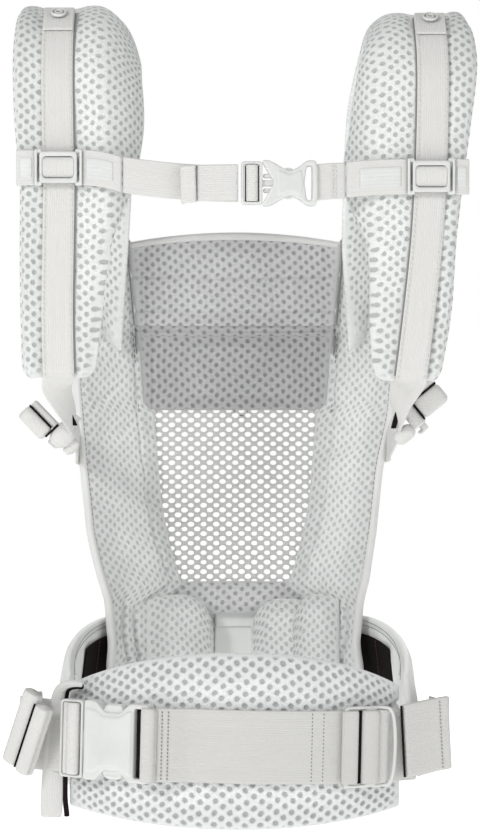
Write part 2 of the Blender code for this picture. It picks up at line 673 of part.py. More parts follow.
def build_adjusters():
    for side, sign in (("left", -1), ("right", 1)):
        spots = PFA[side]
        start, eye, panel = (Vector(spots[key]) for key in ("start", "eye", "panel"))
        path = [start, start + Vector((0, 0.0010, -0.0090)), start.lerp(eye, 0.35) + Vector((0, 0, -0.008)),
                start.lerp(eye, 0.72) + Vector((0, 0, -0.006)), eye + Vector((0, -0.0130, 0.0))]

        def way(share, sign=sign):
            turn = radians(50) * min(1.0, share * 1.3)
            return (cos(turn), 0, -sign * sin(turn))
        ribbon(f"pfa_webbing_{side}", "webbing", path, way, WEB_STRAP, 14)

        turn = radians(50) * sign
        frame = Matrix.Translation(eye) @ Matrix.Rotation(turn, 4, "Y")
        block(f"pfa_buckle_{side}", "plastic", frame, (-0.0135, -0.0120, -0.0030), (0.0135, 0.0120, 0.0050),
              0.0014,
              cuts=[((-0.0112, -0.0200, -0.0012), (0.0112, 0.0200, 0.0018)),
                    ((-0.0112, -0.0075, -0.0100), (0.0112, 0.0085, 0.0)),
                    ((-0.0112, -0.0030, 0.0), (0.0112, 0.0040, 0.0100))])
        tail_frame = frame @ Matrix.Translation((0, 0, 0.0056)) @ Matrix.Rotation(radians(30) * sign, 4, "Z")
        block(f"pfa_tail_{side}", "webbing", tail_frame, (-0.0105, -0.0045, 0.0), (0.0105, 0.0045, 0.0230),
              0.0030)

        def back_way(share, sign=sign):
            turn = radians(50) * (1 - share) + radians(88) * share
            return (cos(turn), 0, -sign * sin(turn))
        end = [eye + Vector((0, 0.0130, 0)), eye.lerp(panel, 0.40), eye.lerp(panel, 0.75), panel]
        ribbon(f"pfa_anchor_{side}", "webbing", end, back_way, WEB_STRAP, 10)


build_panel()
build_belt()
build_lumbar()
build_waist_webbing()
build_waist_buckle()
build_adjuster()
build_straps()
build_chest()
build_adjusters()
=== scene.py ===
"""Looks of the soft baby carrier: fabric, webbing, moulded buckles, stitching, light and camera.

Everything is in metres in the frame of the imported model. The wearer's front is +Y, the camera is
at -Y and sees the inside of the baby panel between the shoulder straps.
"""

from math import cos, pi, radians, sin, sqrt

import bmesh
import bpy
import numpy as np
from mathutils import Matrix, Vector


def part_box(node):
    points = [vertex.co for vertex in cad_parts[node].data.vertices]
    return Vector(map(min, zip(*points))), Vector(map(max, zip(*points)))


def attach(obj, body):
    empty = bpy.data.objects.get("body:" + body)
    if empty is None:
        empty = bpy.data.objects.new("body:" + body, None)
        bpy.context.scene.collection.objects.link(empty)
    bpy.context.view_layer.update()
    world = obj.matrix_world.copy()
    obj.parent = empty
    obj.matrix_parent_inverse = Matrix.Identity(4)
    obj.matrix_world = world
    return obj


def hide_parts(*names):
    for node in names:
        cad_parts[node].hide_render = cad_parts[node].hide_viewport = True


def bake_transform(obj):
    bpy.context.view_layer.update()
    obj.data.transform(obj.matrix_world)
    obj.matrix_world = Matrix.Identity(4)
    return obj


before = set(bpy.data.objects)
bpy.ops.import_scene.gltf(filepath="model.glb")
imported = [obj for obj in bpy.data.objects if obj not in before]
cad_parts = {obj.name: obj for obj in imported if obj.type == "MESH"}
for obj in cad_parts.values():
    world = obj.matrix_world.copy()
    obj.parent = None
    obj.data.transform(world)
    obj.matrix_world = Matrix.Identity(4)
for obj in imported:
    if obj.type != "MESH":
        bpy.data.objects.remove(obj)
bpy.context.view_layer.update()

# ---------------------------------------------------------------- design values of the part

WEB_WIDE = 0.049            # waist webbing
WEB_CHEST = 0.0240          # chest webbing
WEB_STRAP = 0.0210          # shoulder webbing
WEB_THICK = 0.0018
GAP = 0.0004

NEAR_AXIS_Y = 0.075
PAD_INNER_R, PAD_OUTER_R = 0.1565, 0.1700
WEB_R = 0.1755
PAD_HALF_ANGLE = radians(41.5)
PAD_TOP, PAD_TOP_DROP, PAD_BOTTOM_RISE = 0.1190, 0.025, 0.011
WAIST_Z, WAIST_TILT = 0.0575, 0.023
BUCKLE_ANGLE, BUCKLE_R = radians(-30), 0.1785
ADJUSTER_ANGLE = radians(29)

BELT_CENTRE_Y = 0.0055
BELT_HALF_X, BELT_HALF_Y = 0.1130, 0.1120
BELT_FLARE, BELT_FLARE_Z = 0.13, 0.110
BELT_THICK = 0.009
BELT_TOP, BELT_BOTTOM = 0.1330, 0.0140
BELT_SPLIT, WING_END = radians(47), radians(104)

PANEL_X = -0.0035
PANEL_ROUND = [(0.125, 0.104), (0.155, 0.124), (0.220, 0.160)]
PANEL_THICK = 0.008
WINDOW_BOTTOM, WINDOW_TOP = 0.1545, 0.2805
FOLD_Z = 0.3390
PANEL_TOP, PANEL_TOP_CROWN = 0.3985, 0.0070
# half widths of the panel's seams and openings, as (height, half width)
SEAM_LINE = [(0.270, 0.0680), (0.325, 0.0722), (0.410, 0.0795)]
WINDOW_LINE = [(0.154, 0.0350), (0.160, 0.0420), (0.182, 0.0488), (0.200, 0.0528),
               (0.219, 0.0560), (0.2665, 0.0598), (0.282, 0.0585)]
EDGE_LINE = [(0.154, 0.0420), (0.165, 0.0490), (0.182, 0.0560), (0.219, 0.0635), (0.266, 0.0684),
             (0.325, 0.0728), (0.410, 0.0802)]
PANEL_DEPTH = [(0.088, 0.0990), (0.150, 0.1060), (0.250, 0.1130), (0.340, 0.1080), (0.410, 0.0980)]

STRAP_PUFF = 0.0050
FLANK_TURN = radians(50)
SLIDER_Z = {"left": 0.4405, "right": 0.4345}
CHEST_SLOT = {"left": -0.1198, "right": 0.1262}
BUCKLE_Z = 0.4300
CHEST_Y = -0.1065
BAND_WIDE = 0.0236          # elastic-backed bands of the chest strap

# (y, z, webbing centre x, outer half width, inner half width, flank) from the padded end on the
# wearer's back, over the shoulder, to the seam with the baby panel
STRAP_STATIONS = {
    "left": [
        (-0.0880, 0.3020, -0.1205, 0.0235, 0.0195, 0.000),
        (-0.0945, 0.3450, -0.1210, 0.0240, 0.0255, 0.000),
        (-0.0965, 0.3900, -0.1203, 0.0250, 0.0300, 0.002),
        (-0.0970, 0.4300, -0.1198, 0.0255, 0.0325, 0.022),
        (-0.0968, 0.4700, -0.1207, 0.0280, 0.0315, 0.036),
        (-0.0920, 0.5100, -0.1213, 0.0290, 0.0310, 0.036),
        (-0.0760, 0.5365, -0.1213, 0.0285, 0.0310, 0.034),
        (-0.0430, 0.5510, -0.1213, 0.0275, 0.0300, 0.028),
        (-0.0020, 0.5450, -0.1200, 0.0260, 0.0290, 0.022),
        (0.0350, 0.5100, -0.1170, 0.0260, 0.0240, 0.028),
        (0.0620, 0.4550, -0.1140, 0.0260, 0.0180, 0.028),
        (0.0780, 0.4000, -0.1120, 0.0240, 0.0150, 0.024),
        (0.0860, 0.3460, -0.1090, 0.0120, 0.0120, 0.016),
    ],
    "right": [
        (-0.0880, 0.3000, 0.1134, 0.0190, 0.0203, 0.000),
        (-0.0945, 0.3450, 0.1187, 0.0209, 0.0283, 0.000),
        (-0.0965, 0.3900, 0.1234, 0.0192, 0.0333, 0.006),
        (-0.0970, 0.4300, 0.1260, 0.0210, 0.0362, 0.030),
        (-0.0968, 0.4700, 0.1273, 0.0250, 0.0372, 0.024),
        (-0.0920, 0.5080, 0.1279, 0.0290, 0.0357, 0.019),
        (-0.0760, 0.5335, 0.1272, 0.0280, 0.0316, 0.017),
        (-0.0430, 0.5465, 0.1275, 0.0235, 0.0300, 0.015),
        (-0.0020, 0.5410, 0.1260, 0.0240, 0.0290, 0.018),
        (0.0350, 0.5070, 0.1190, 0.0250, 0.0250, 0.026),
        (0.0620, 0.4550, 0.1130, 0.0250, 0.0200, 0.028),
        (0.0780, 0.4000, 0.1090, 0.0230, 0.0170, 0.027),
        (0.0860, 0.3460, 0.1040, 0.0100, 0.0140, 0.016),
    ],
}
SIDES = (("left", -1), ("right", 1))

# lattice of the spacer mesh's dimples: pitch across and pitch along, in metres
DOTS = {"lumbar": (0.0100, 0.0080), "strap": (0.0088, 0.0068), "panel": (0.0090, 0.0074),
        "bolster": (0.0074, 0.0068)}

WARP = 0.0007               # how far the knit wanders off its lattice

# ---------------------------------------------------------------- camera and light

CAMERA_PLACE = (0.0, -2.049, 0.2746)
CAMERA_LENS, CAMERA_SENSOR = 126.5, 36.0    # mm
STAGE_MIDDLE = (0.0, 0.0, 0.28)             # what the lamps point at
SKY_ON_OBJECT = 0.50                        # strength of the white world as it lights the object
FLOOR_Z, FLOOR_RADIUS = -0.055, 9.0


def build_camera():
    camera = bpy.data.cameras.new("camera")
    camera.lens = CAMERA_LENS
    camera.sensor_width = CAMERA_SENSOR
    camera.clip_end = 20.0
    item = bpy.data.objects.new("camera", camera)
    item.location = CAMERA_PLACE
    item.rotation_euler = (pi / 2, 0.0, 0.0)
    bpy.context.scene.collection.objects.link(item)
    bpy.context.scene.camera = item


def area_light(name, place, size, power):
    """A round lamp turned to the middle of the stage."""
    lamp = bpy.data.lights.new(name, "AREA")
    lamp.shape = "DISK"
    lamp.size = size
    lamp.energy = power
    item = bpy.data.objects.new(name, lamp)
    item.location = place
    aim = Vector(STAGE_MIDDLE) - Vector(place)
    item.rotation_euler = aim.to_track_quat("-Z", "Y").to_euler()
    bpy.context.scene.collection.objects.link(item)


def build_light():
    world = bpy.data.worlds.new("studio")
    bpy.context.scene.world = world
    world.use_nodes = True
    background = world.node_tree.nodes["Background"]
    background.inputs["Color"].default_value = (1.0, 1.0, 1.0, 1.0)
    seen = world.node_tree.nodes.new("ShaderNodeLightPath")
    level = world.node_tree.nodes.new("ShaderNodeMapRange")
    level.inputs["To Min"].default_value = SKY_ON_OBJECT
    level.inputs["To Max"].default_value = 1.0
    world.node_tree.links.new(seen.outputs["Is Camera Ray"], level.inputs["Value"])
    world.node_tree.links.new(level.outputs["Result"], background.inputs["Strength"])
    area_light("key", (-1.3, -1.9, 1.3), 0.7, 20.0)
    area_light("fill", (1.5, -1.7, 0.5), 1.2, 4.0)
    area_light("rim", (0.6, 1.8, 1.3), 1.0, 6.0)
    scene = bpy.context.scene
    scene.view_settings.view_transform = "Standard"
    scene.view_settings.look = "None"


def build_floor():
    mesh = bpy.data.meshes.new("floor")
    disc = bmesh.new()
    bmesh.ops.create_circle(disc, cap_ends=True, segments=96, radius=FLOOR_RADIUS)
    disc.to_mesh(mesh)
    disc.free()
    floor = bpy.data.objects.new("floor", mesh)
    floor.location = (0.0, 0.0, FLOOR_Z)
    bpy.context.scene.collection.objects.link(floor)
    paint = bpy.data.materials.new("floor_paint")
    paint.use_nodes = True
    shader = paint.node_tree.nodes["Principled BSDF"]
    shader.inputs["Base Color"].default_value = (0.9, 0.9, 0.9, 1.0)
    shader.inputs["Roughness"].default_value = 0.9
    shader.inputs["Emission Color"].default_value = (1.0, 1.0, 1.0, 1.0)
    shader.inputs["Emission Strength"].default_value = 0.60
    mesh.materials.append(paint)


# ---------------------------------------------------------------- materials


class Nodes:
    """A Principled material whose nodes are added by short calls."""

    def __init__(self, name, roughness, **sockets):
        self.material = bpy.data.materials.new(name)
        self.material.use_nodes = True
        self.tree = self.material.node_tree
        self.shader = self.tree.nodes["Principled BSDF"]
        self.shader.inputs["Roughness"].default_value = roughness
        for socket, value in sockets.items():
            title = socket.replace("_", " ").title().replace("Ior", "IOR")
            self.shader.inputs[title].default_value = value

    def node(self, kind, inputs=(), **settings):
        item = self.tree.nodes.new(kind)
        for key, value in settings.items():
            setattr(item, key, value)
        for key, value in dict(inputs).items():
            if isinstance(value, bpy.types.NodeSocket):
                self.tree.links.new(value, item.inputs[key])
            else:
                item.inputs[key].default_value = value
        return item

    def math(self, operation, a, b=0.0, clamp=False):
        return self.node("ShaderNodeMath", {0: a, 1: b}, operation=operation,
                         use_clamp=clamp).outputs[0]

    def cloth(self):
        """The cloth's coordinates: across and along in metres, then 1 inside to 0 at the rim."""
        attribute = self.node("ShaderNodeAttribute", attribute_name="cloth")
        split = self.node("ShaderNodeSeparateXYZ", {0: attribute.outputs["Vector"]})
        return attribute.outputs["Vector"], split.outputs[0], split.outputs[1], split.outputs[2]

    def place(self):
        return self.node("ShaderNodeTexCoord").outputs["Object"]

    def noise(self, vector, scale, detail=3.0, roughness=0.55):
        return self.node("ShaderNodeTexNoise", {"Vector": vector, "Scale": scale, "Detail": detail,
                                                "Roughness": roughness}).outputs["Fac"]

    def ramp(self, value, low, high, to_low=0.0, to_high=1.0):
        return self.node("ShaderNodeMapRange", {"Value": value, "From Min": low, "From Max": high,
                                                "To Min": to_low, "To Max": to_high},
                         interpolation_type="SMOOTHSTEP").outputs["Result"]

    def wave(self, value, pitch):
        """Cosine of a coordinate with that pitch, from -1 to 1."""
        return self.math("COSINE", self.math("MULTIPLY", value, 2 * pi / pitch))

    def mix(self, share, a, b):
        item = self.node("ShaderNodeMix", data_type="RGBA")
        for socket, value in ((0, share), (6, a), (7, b)):
            if isinstance(value, bpy.types.NodeSocket):
                self.tree.links.new(value, item.inputs[socket])
            else:
                item.inputs[socket].default_value = (*value, 1.0) if socket else value
        return item.outputs[2]

    def finish(self, colour, height=None, distance=0.0005, strength=1.0, roughness=None):
        self.tree.links.new(colour, self.shader.inputs["Base Color"])
        if roughness is not None:
            self.tree.links.new(roughness, self.shader.inputs["Roughness"])
        if height is not None:
            bump = self.node("ShaderNodeBump", {"Height": height, "Distance": distance,
                                                "Strength": strength})
            self.tree.links.new(bump.outputs[0], self.shader.inputs["Normal"])
        return self.material


def spacer_mesh(name, pitch, light, dark, low):
    """Knitted spacer mesh: diamond dimples painted darker inside as painted shade, between the
    ridges of a fine knit.
    """
    made = Nodes(name, 0.92, sheen_weight=0.12, sheen_roughness=0.5)
    vector, u, v, inside = made.cloth()
    sway = made.math("MULTIPLY", made.math("SINE", made.math("MULTIPLY", v, 240.0)), WARP)
    drift = made.math("MULTIPLY", made.math("SINE", made.math("MULTIPLY", u, 190.0)), WARP)
    across = made.math("MULTIPLY", made.math("ADD", u, sway), 1 / pitch[0])
    along = made.math("MULTIPLY", made.math("ADD", v, drift), 1 / pitch[1])
    rise = made.wave(made.math("ADD", across, along), 1.0)
    fall = made.wave(made.math("SUBTRACT", across, along), 1.0)
    cell = made.math("MULTIPLY", made.math("ADD", rise, 1.0), made.math("ADD", fall, 1.0))
    slim = made.math("ADD", made.math("MULTIPLY", made.wave(across, 0.5), 0.26), 0.74)
    cell = made.math("MULTIPLY", cell, slim)
    ragged = made.math("MULTIPLY", made.math("SUBTRACT", made.noise(vector, 620.0, 2.0), 0.5), 2.2)
    hole = made.ramp(made.math("ADD", cell, ragged), low, low + 2.3)
    hole = made.math("MULTIPLY", hole, made.ramp(inside, 0.05, 0.5))
    fine = made.noise(vector, 900.0, 3.0, 0.75)
    broad = made.noise(vector, 26.0, 2.0)
    # painted shade: the dimples take the dark colour for the shade inside them; fine knit and
    # broad noise add tone
    shade = made.math("ADD", made.math("MULTIPLY", hole, 0.80),
                      made.math("MULTIPLY", made.ramp(fine, 0.36, 0.68), 0.40))
    shade = made.math("ADD", shade, made.math("MULTIPLY", made.ramp(broad, 0.35, 0.7), 0.12), True)
    colour = made.mix(shade, light, dark)
    height = made.math("SUBTRACT", made.math("MULTIPLY", fine, 0.7), hole)
    return made.finish(colour, height, 0.0006, 0.8)


WEBBING_RIB = 0.0016


def woven_webbing(name, light, dark):
    """Flat woven webbing: ribs along it, a finer pick across it, darker towards both edges."""
    made = Nodes(name, 0.72, sheen_weight=0.15, sheen_roughness=0.4)
    vector, u, v, inside = made.cloth()
    ribs = made.wave(u, WEBBING_RIB)
    picks = made.wave(v, WEBBING_RIB * 0.55)
    weave = made.math("MULTIPLY", ribs, picks)
    fine = made.noise(vector, 1300.0, 2.0)
    broad = made.noise(vector, 40.0, 3.0)
    shade = made.math("ADD", made.ramp(weave, -1.0, 1.0, 0.0, 0.22),
                      made.math("MULTIPLY", fine, 0.22))
    shade = made.math("ADD", shade, made.ramp(broad, 0.3, 0.75, 0.0, 0.14))
    shade = made.math("ADD", shade, made.ramp(inside, 0.0, 0.30, 0.22, 0.0), True)
    height = made.math("ADD", made.math("MULTIPLY", weave, 0.5), made.math("MULTIPLY", ribs, 0.35))
    return made.finish(made.mix(shade, light, dark), height, 0.00025, 0.7)


def satin(name, light, dark):
    """Smooth tape with a soft sheen and faint streaks along the yarn."""
    made = Nodes(name, 0.40, sheen_weight=0.30, sheen_roughness=0.3, specular_ior_level=0.45)
    vector, u, v, inside = made.cloth()
    streak = made.noise(made.node("ShaderNodeMapping",
                                  {"Vector": vector, "Scale": (1.0, 0.08, 1.0)})
                        .outputs[0], 1400.0, 2.0)
    broad = made.noise(vector, 60.0, 2.0)
    shade = made.math("ADD", made.math("MULTIPLY", streak, 0.35),
                      made.math("MULTIPLY", broad, 0.3), True)
    return made.finish(made.mix(shade, light, dark),
                       made.math("ADD", streak, made.wave(v, 0.0006)),
                       0.00012, 0.5)


def lining_cloth(name, light, dark):
    """Black twill."""
    made = Nodes(name, 0.9, specular_ior_level=0.15)
    vector, u, v, inside = made.cloth()
    twill = made.wave(made.math("ADD", u, v), 0.0014)
    fine = made.noise(vector, 1400.0, 2.0)
    shade = made.math("ADD", made.ramp(twill, -1.0, 1.0, 0.0, 0.5),
                      made.math("MULTIPLY", fine, 0.4), True)
    return made.finish(made.mix(shade, light, dark), twill, 0.0002, 0.6)


def elastic_tape(name, light, dark):
    """Silvery elastic: close cross ribs with a slight shine."""
    made = Nodes(name, 0.42, sheen_weight=0.2, specular_ior_level=0.5)
    vector, u, v, inside = made.cloth()
    ribs = made.wave(u, 0.0026)
    fine = made.noise(vector, 1200.0, 2.0)
    broad = made.noise(vector, 120.0, 2.0)
    shade = made.math("ADD", made.ramp(ribs, -1.0, 1.0, 0.0, 0.20),
                      made.math("MULTIPLY", fine, 0.4))
    shade = made.math("ADD", shade, made.ramp(broad, 0.35, 0.7, 0.0, 0.35), True)
    return made.finish(made.mix(shade, light, dark), ribs, 0.00006, 0.5)


def moulded_plastic(name, light, dark):
    """Pale acetal: a fine moulding grain and a cloudy tone, with convex edges painted faintly
    lighter as a painted highlight.
    """
    made = Nodes(name, 0.36, specular_ior_level=0.5, coat_weight=0.10, coat_roughness=0.25)
    place = made.place()
    grain = made.noise(place, 2600.0, 2.0)
    cloud = made.noise(place, 45.0, 3.0)
    geometry = made.node("ShaderNodeNewGeometry")
    # painted highlight: the more pointed (convex) the surface, the lighter its colour, leaving
    # hollows darker
    painted_edge_highlight = made.ramp(geometry.outputs["Pointiness"], 0.50, 0.58)
    shade = made.math("SUBTRACT", made.ramp(cloud, 0.3, 0.75, 0.05, 0.45),
                      made.math("MULTIPLY", painted_edge_highlight, 0.3), True)
    rough = made.ramp(cloud, 0.3, 0.7, 0.32, 0.44)
    return made.finish(made.mix(shade, light, dark), grain, 0.00008, 0.35, rough)


def thread(name, light, dark):
    made = Nodes(name, 0.6, sheen_weight=0.2)
    place = made.place()
    twist = made.noise(place, 3500.0, 2.0)
    return made.finish(made.mix(twist, light, dark), twist, 0.0001, 0.5)


def net_yarn(name, light, dark):
    made = Nodes(name, 0.85, sheen_weight=0.15)
    place = made.place()
    fibre = made.noise(place, 2200.0, 3.0, 0.7)
    broad = made.noise(place, 60.0, 2.0)
    shade = made.math("ADD", made.math("MULTIPLY", fibre, 0.7),
                      made.ramp(broad, 0.3, 0.7, 0.0, 0.2), True)
    return made.finish(made.mix(shade, light, dark), fibre, 0.0003, 0.8)


# each mesh's lattice, light colour, dark colour for the painted shade in its dimples, and how
# early its dimples darken
MESHES = {
    "mesh_lumbar": ("lumbar", (0.92, 0.93, 0.93), (0.45, 0.46, 0.46), 0.25),
    "mesh_strap": ("strap", (0.86, 0.88, 0.86), (0.46, 0.48, 0.47), 0.35),
    "mesh_bolster": ("bolster", (0.82, 0.83, 0.82), (0.54, 0.56, 0.55), 0.35),
    # the head support's and the upper panel's meshes are the same spacer mesh painted darker, as
    # painted shade inside the panel between the straps; the upper panel is darker than the head
    # support
    "mesh_head_painted_shade": ("panel", (0.72, 0.72, 0.72), (0.37, 0.37, 0.38), 0.45),
    "mesh_panel_painted_shade": ("panel", (0.57, 0.57, 0.57), (0.28, 0.28, 0.29), 0.45),
}
# each other material's kind, light and dark colour
FINISHES = {
    "webbing": (woven_webbing, (0.74, 0.735, 0.715), (0.60, 0.595, 0.575)),
    # a darker copy of the webbing for the waist webbing and its wraps: painted shade against the
    # stronger light at the front
    "webbing_wide": (woven_webbing, (0.665, 0.66, 0.635), (0.54, 0.535, 0.515)),
    # a lighter copy of the satin for the belt's centre patch, its tape and the wings: painted
    # light against the shade they lie in
    "satin_bright": (satin, (0.95, 0.96, 0.94), (0.84, 0.85, 0.83)),
    "satin": (satin, (0.82, 0.82, 0.81), (0.62, 0.62, 0.61)),
    "lining": (lining_cloth, (0.0040, 0.0025, 0.0025), (0.014, 0.009, 0.009)),
    "elastic": (elastic_tape, (0.74, 0.75, 0.74), (0.58, 0.59, 0.58)),
    # a darker copy of the plastic, used as painted shade in the recess between the snaps' rings
    "plastic_shade": (moulded_plastic, (0.40, 0.40, 0.39), (0.30, 0.30, 0.29)),
    "plastic": (moulded_plastic, (0.70, 0.71, 0.69), (0.56, 0.57, 0.55)),
    "net": (net_yarn, (0.66, 0.66, 0.65), (0.50, 0.50, 0.49)),
    "thread_pale": (thread, (0.80, 0.79, 0.76), (0.60, 0.59, 0.56)),
    "thread_grey": (thread, (0.30, 0.30, 0.30), (0.16, 0.16, 0.16)),
    "thread_red": (thread, (0.10, 0.012, 0.018), (0.05, 0.006, 0.008)),
}
MATERIALS = {name: spacer_mesh(name, DOTS[lattice], light, dark, low)
             for name, (lattice, light, dark, low) in MESHES.items()}
MATERIALS.update((name, kind(name, light, dark)) for name, (kind, light, dark) in FINISHES.items())

# ---------------------------------------------------------------- surfaces of the design


def between(low, high, v):
    """The value at v of -1 to 1 between two others."""
    return low + (high - low) * (v + 1) / 2


def blend(rows, key):
    """Value of a two-column list at key, level past its ends."""
    keys, values = zip(*rows)
    return float(np.interp(key, keys, values))


def along_stations(stations, share):
    """Catmull-Rom value of a list of equal-length rows at share 0 to 1."""
    last = len(stations) - 1
    place = min(max(share, 0.0), 1.0) * last
    index = min(int(place), last - 1)
    t = place - index
    rows = [stations[min(max(index + step, 0), last)] for step in (-1, 0, 1, 2)]
    return [0.5 * (2 * b + (c - a) * t + (2 * a - 5 * b + 4 * c - d) * t * t
                   + (3 * b - a - 3 * c + d) * t ** 3) for a, b, c, d in zip(*rows)]


def panel_point(x, z, lift=0.0):
    """A point on the panel's middle surface, lifted towards the wearer."""
    depth = blend(PANEL_DEPTH, z) + PANEL_THICK / 2
    radius = blend(PANEL_ROUND, z)
    sink = radius - sqrt(max(radius ** 2 - x ** 2, 0.0))
    return Vector((PANEL_X + x, depth - sink - lift, z))


def belt_point(angle, z, out):
    half_x = BELT_HALF_X + BELT_FLARE * (BELT_FLARE_Z - z) + out
    half_y = BELT_HALF_Y + out
    return Vector((PANEL_X / 2 + half_x * sin(angle), BELT_CENTRE_Y + half_y * cos(angle), z))


def belt_top(angle):
    turn = max(0.0, abs(angle) - radians(52)) / radians(55)
    return BELT_TOP - 0.037 * min(turn, 1.0) ** 1.6


def near_point(angle, radius, z):
    return Vector((radius * sin(angle), NEAR_AXIS_Y - radius * cos(angle), z))


WAIST_LEAN = Matrix.Translation((0, 0, WAIST_Z)) @ Matrix.Rotation(WAIST_TILT, 4, "Y")


def waist_frame(angle, radius=WEB_R):
    middle = Matrix.Translation(near_point(angle, radius, 0.0))
    return WAIST_LEAN @ middle @ Matrix.Rotation(angle, 4, "Z")


def waist_strip(angle, radius, height):
    return WAIST_LEAN @ near_point(angle, radius, height)


def strap_station(side, share):
    """Webbing centre, outward normal, outer and inner half widths, and flank."""
    stations = STRAP_STATIONS[side]
    y, z, x, outer, inner, flank = along_stations(stations, share)
    step = 0.004
    ahead = along_stations(stations, share + step)
    behind = along_stations(stations, share - step)
    run = Vector((0, ahead[0] - behind[0], ahead[1] - behind[1])).normalized()
    return Vector((x, y, z)), Vector((0, -run.z, run.y)), outer, inner, max(flank, 0.0)


# ---------------------------------------------------------------- mesh tools


def threes(mesh, fill):
    """Three numbers for each of a mesh's points, put in by fill."""
    values = np.zeros(len(mesh.vertices) * 3, np.float32)
    fill(values)
    return values.reshape(-1, 3).astype(float)


def coordinates(mesh):
    return threes(mesh, lambda values: mesh.vertices.foreach_get("co", values))


def set_coordinates(mesh, points):
    mesh.vertices.foreach_set("co", points.astype(np.float32).ravel())
    mesh.update()


def normals_of(mesh):
    return threes(mesh, lambda values: mesh.vertex_normals.foreach_get("vector", values))


def cloth_of(mesh):
    cloth = mesh.attributes["cloth"].data
    return threes(mesh, lambda values: cloth.foreach_get("vector", values))


def new_piece(name, points, faces, material, cloth=None):
    mesh = bpy.data.meshes.new(name)
    mesh.from_pydata(np.asarray(points).tolist(), [], np.asarray(faces).tolist()
                     if isinstance(faces, np.ndarray) else faces)
    if cloth is not None:
        attribute = mesh.attributes.new("cloth", "FLOAT_VECTOR", "POINT")
        attribute.data.foreach_set("vector", np.asarray(cloth, np.float32).ravel())
    mesh.materials.append(MATERIALS[material])
    mesh.shade_smooth()
    item = bpy.data.objects.new(name, mesh)
    bpy.context.scene.collection.objects.link(item)
    return item


def cleaned(piece, weld=None):
    """Points closer than weld made one, and every face turned outwards."""
    shape = bmesh.new()
    shape.from_mesh(piece.data)
    if weld:
        bmesh.ops.remove_doubles(shape, verts=shape.verts, dist=weld)
    bmesh.ops.recalc_face_normals(shape, faces=shape.faces)
    shape.to_mesh(piece.data)
    shape.free()
    return piece


def spans(low, high, count):
    return np.linspace(low, high, count + 1)


def grid(place, us, vs):
    return np.array([[tuple(place(u, v)) for u in us] for v in vs])


def grid_normals(points):
    du = np.gradient(points, axis=1)
    dv = np.gradient(points, axis=0)
    across = np.cross(du, dv)
    return across / np.maximum(np.linalg.norm(across, axis=2, keepdims=True), 1e-12)


def lengths(points):
    """Metres across from the middle column and along from the first row, for each grid point."""
    rows, columns = points.shape[:2]
    across = np.zeros((rows, columns))
    across[:, 1:] = np.cumsum(np.linalg.norm(np.diff(points, axis=1), axis=2), axis=1)
    across -= across[:, columns // 2][:, None]
    along = np.zeros(rows)
    along[1:] = np.cumsum(np.linalg.norm(np.diff(points[:, columns // 2], axis=0), axis=1))
    return across, np.repeat(along[:, None], columns, axis=1)


def inside_mask(rows, columns):
    """1 inside a grid, falling to 0 at its rim."""
    u = np.abs(np.linspace(-1, 1, columns))[None, :]
    v = np.abs(np.linspace(-1, 1, rows))[:, None]
    return (1 - u ** 6) * (1 - v ** 12)


def shell(name, front, back, material, mask=None):
    """A closed piece from two grids of points of the same shape, joined round the rim."""
    rows, columns = front.shape[:2]
    count = rows * columns
    index = np.arange(count).reshape(rows, columns)

    def quads(i):
        return np.stack([i[:-1, :-1], i[:-1, 1:], i[1:, 1:], i[1:, :-1]], axis=-1).reshape(-1, 4)
    rim = np.concatenate([index[0, :-1], index[:-1, -1], index[-1, :0:-1], index[:0:-1, 0]])
    after = np.roll(rim, -1)
    sides = np.stack([after, rim, rim + count, after + count], axis=-1)
    faces = np.concatenate([quads(index), quads(index + count)[:, ::-1], sides])
    across, along = lengths((front + back) / 2)
    if mask is None:
        mask = inside_mask(rows, columns)
    cloth = np.stack([across, along, mask], axis=-1).reshape(-1, 3)
    points = np.concatenate([front.reshape(-1, 3), back.reshape(-1, 3)])
    return new_piece(name, points, faces, material, np.concatenate([cloth, cloth]))


def thickened(name, points, thick, material, crown=None, mask=None):
    """A closed piece whose middle surface is the grid, thick metres through where crown is 1."""
    normals = grid_normals(points)
    if crown is None:
        crown = np.ones(points.shape[:2])
    reach = normals * (crown * thick / 2)[:, :, None]
    return shell(name, points + reach, points - reach, material, mask)


def crowned(points, edge):
    """A pad's share of its full thickness over a grid: 1 in the middle and edge at the rim."""
    rows, columns = points.shape[:2]
    u = np.abs(np.linspace(-1, 1, columns))[None, :]
    v = np.abs(np.linspace(-1, 1, rows))[:, None]
    return edge + (1 - edge) * np.sqrt(np.maximum((1 - u ** 3) * (1 - v ** 6), 0.0))


def rim_pins(rows, columns):
    """Indices of the grid's border on both faces, which a seam holds."""
    index = np.arange(rows * columns).reshape(rows, columns)
    rim = np.unique(np.concatenate([index[0], index[-1], index[:, 0], index[:, -1]]))
    return np.concatenate([rim, rim + rows * columns])


CLOTH_FRAMES = 20
CLOTH_MASS = 0.25
CLOTH_PRESSURE = 4.0
CLOTH_STRETCH, CLOTH_SHEAR, CLOTH_BEND = 12.0, 4.0, 0.4


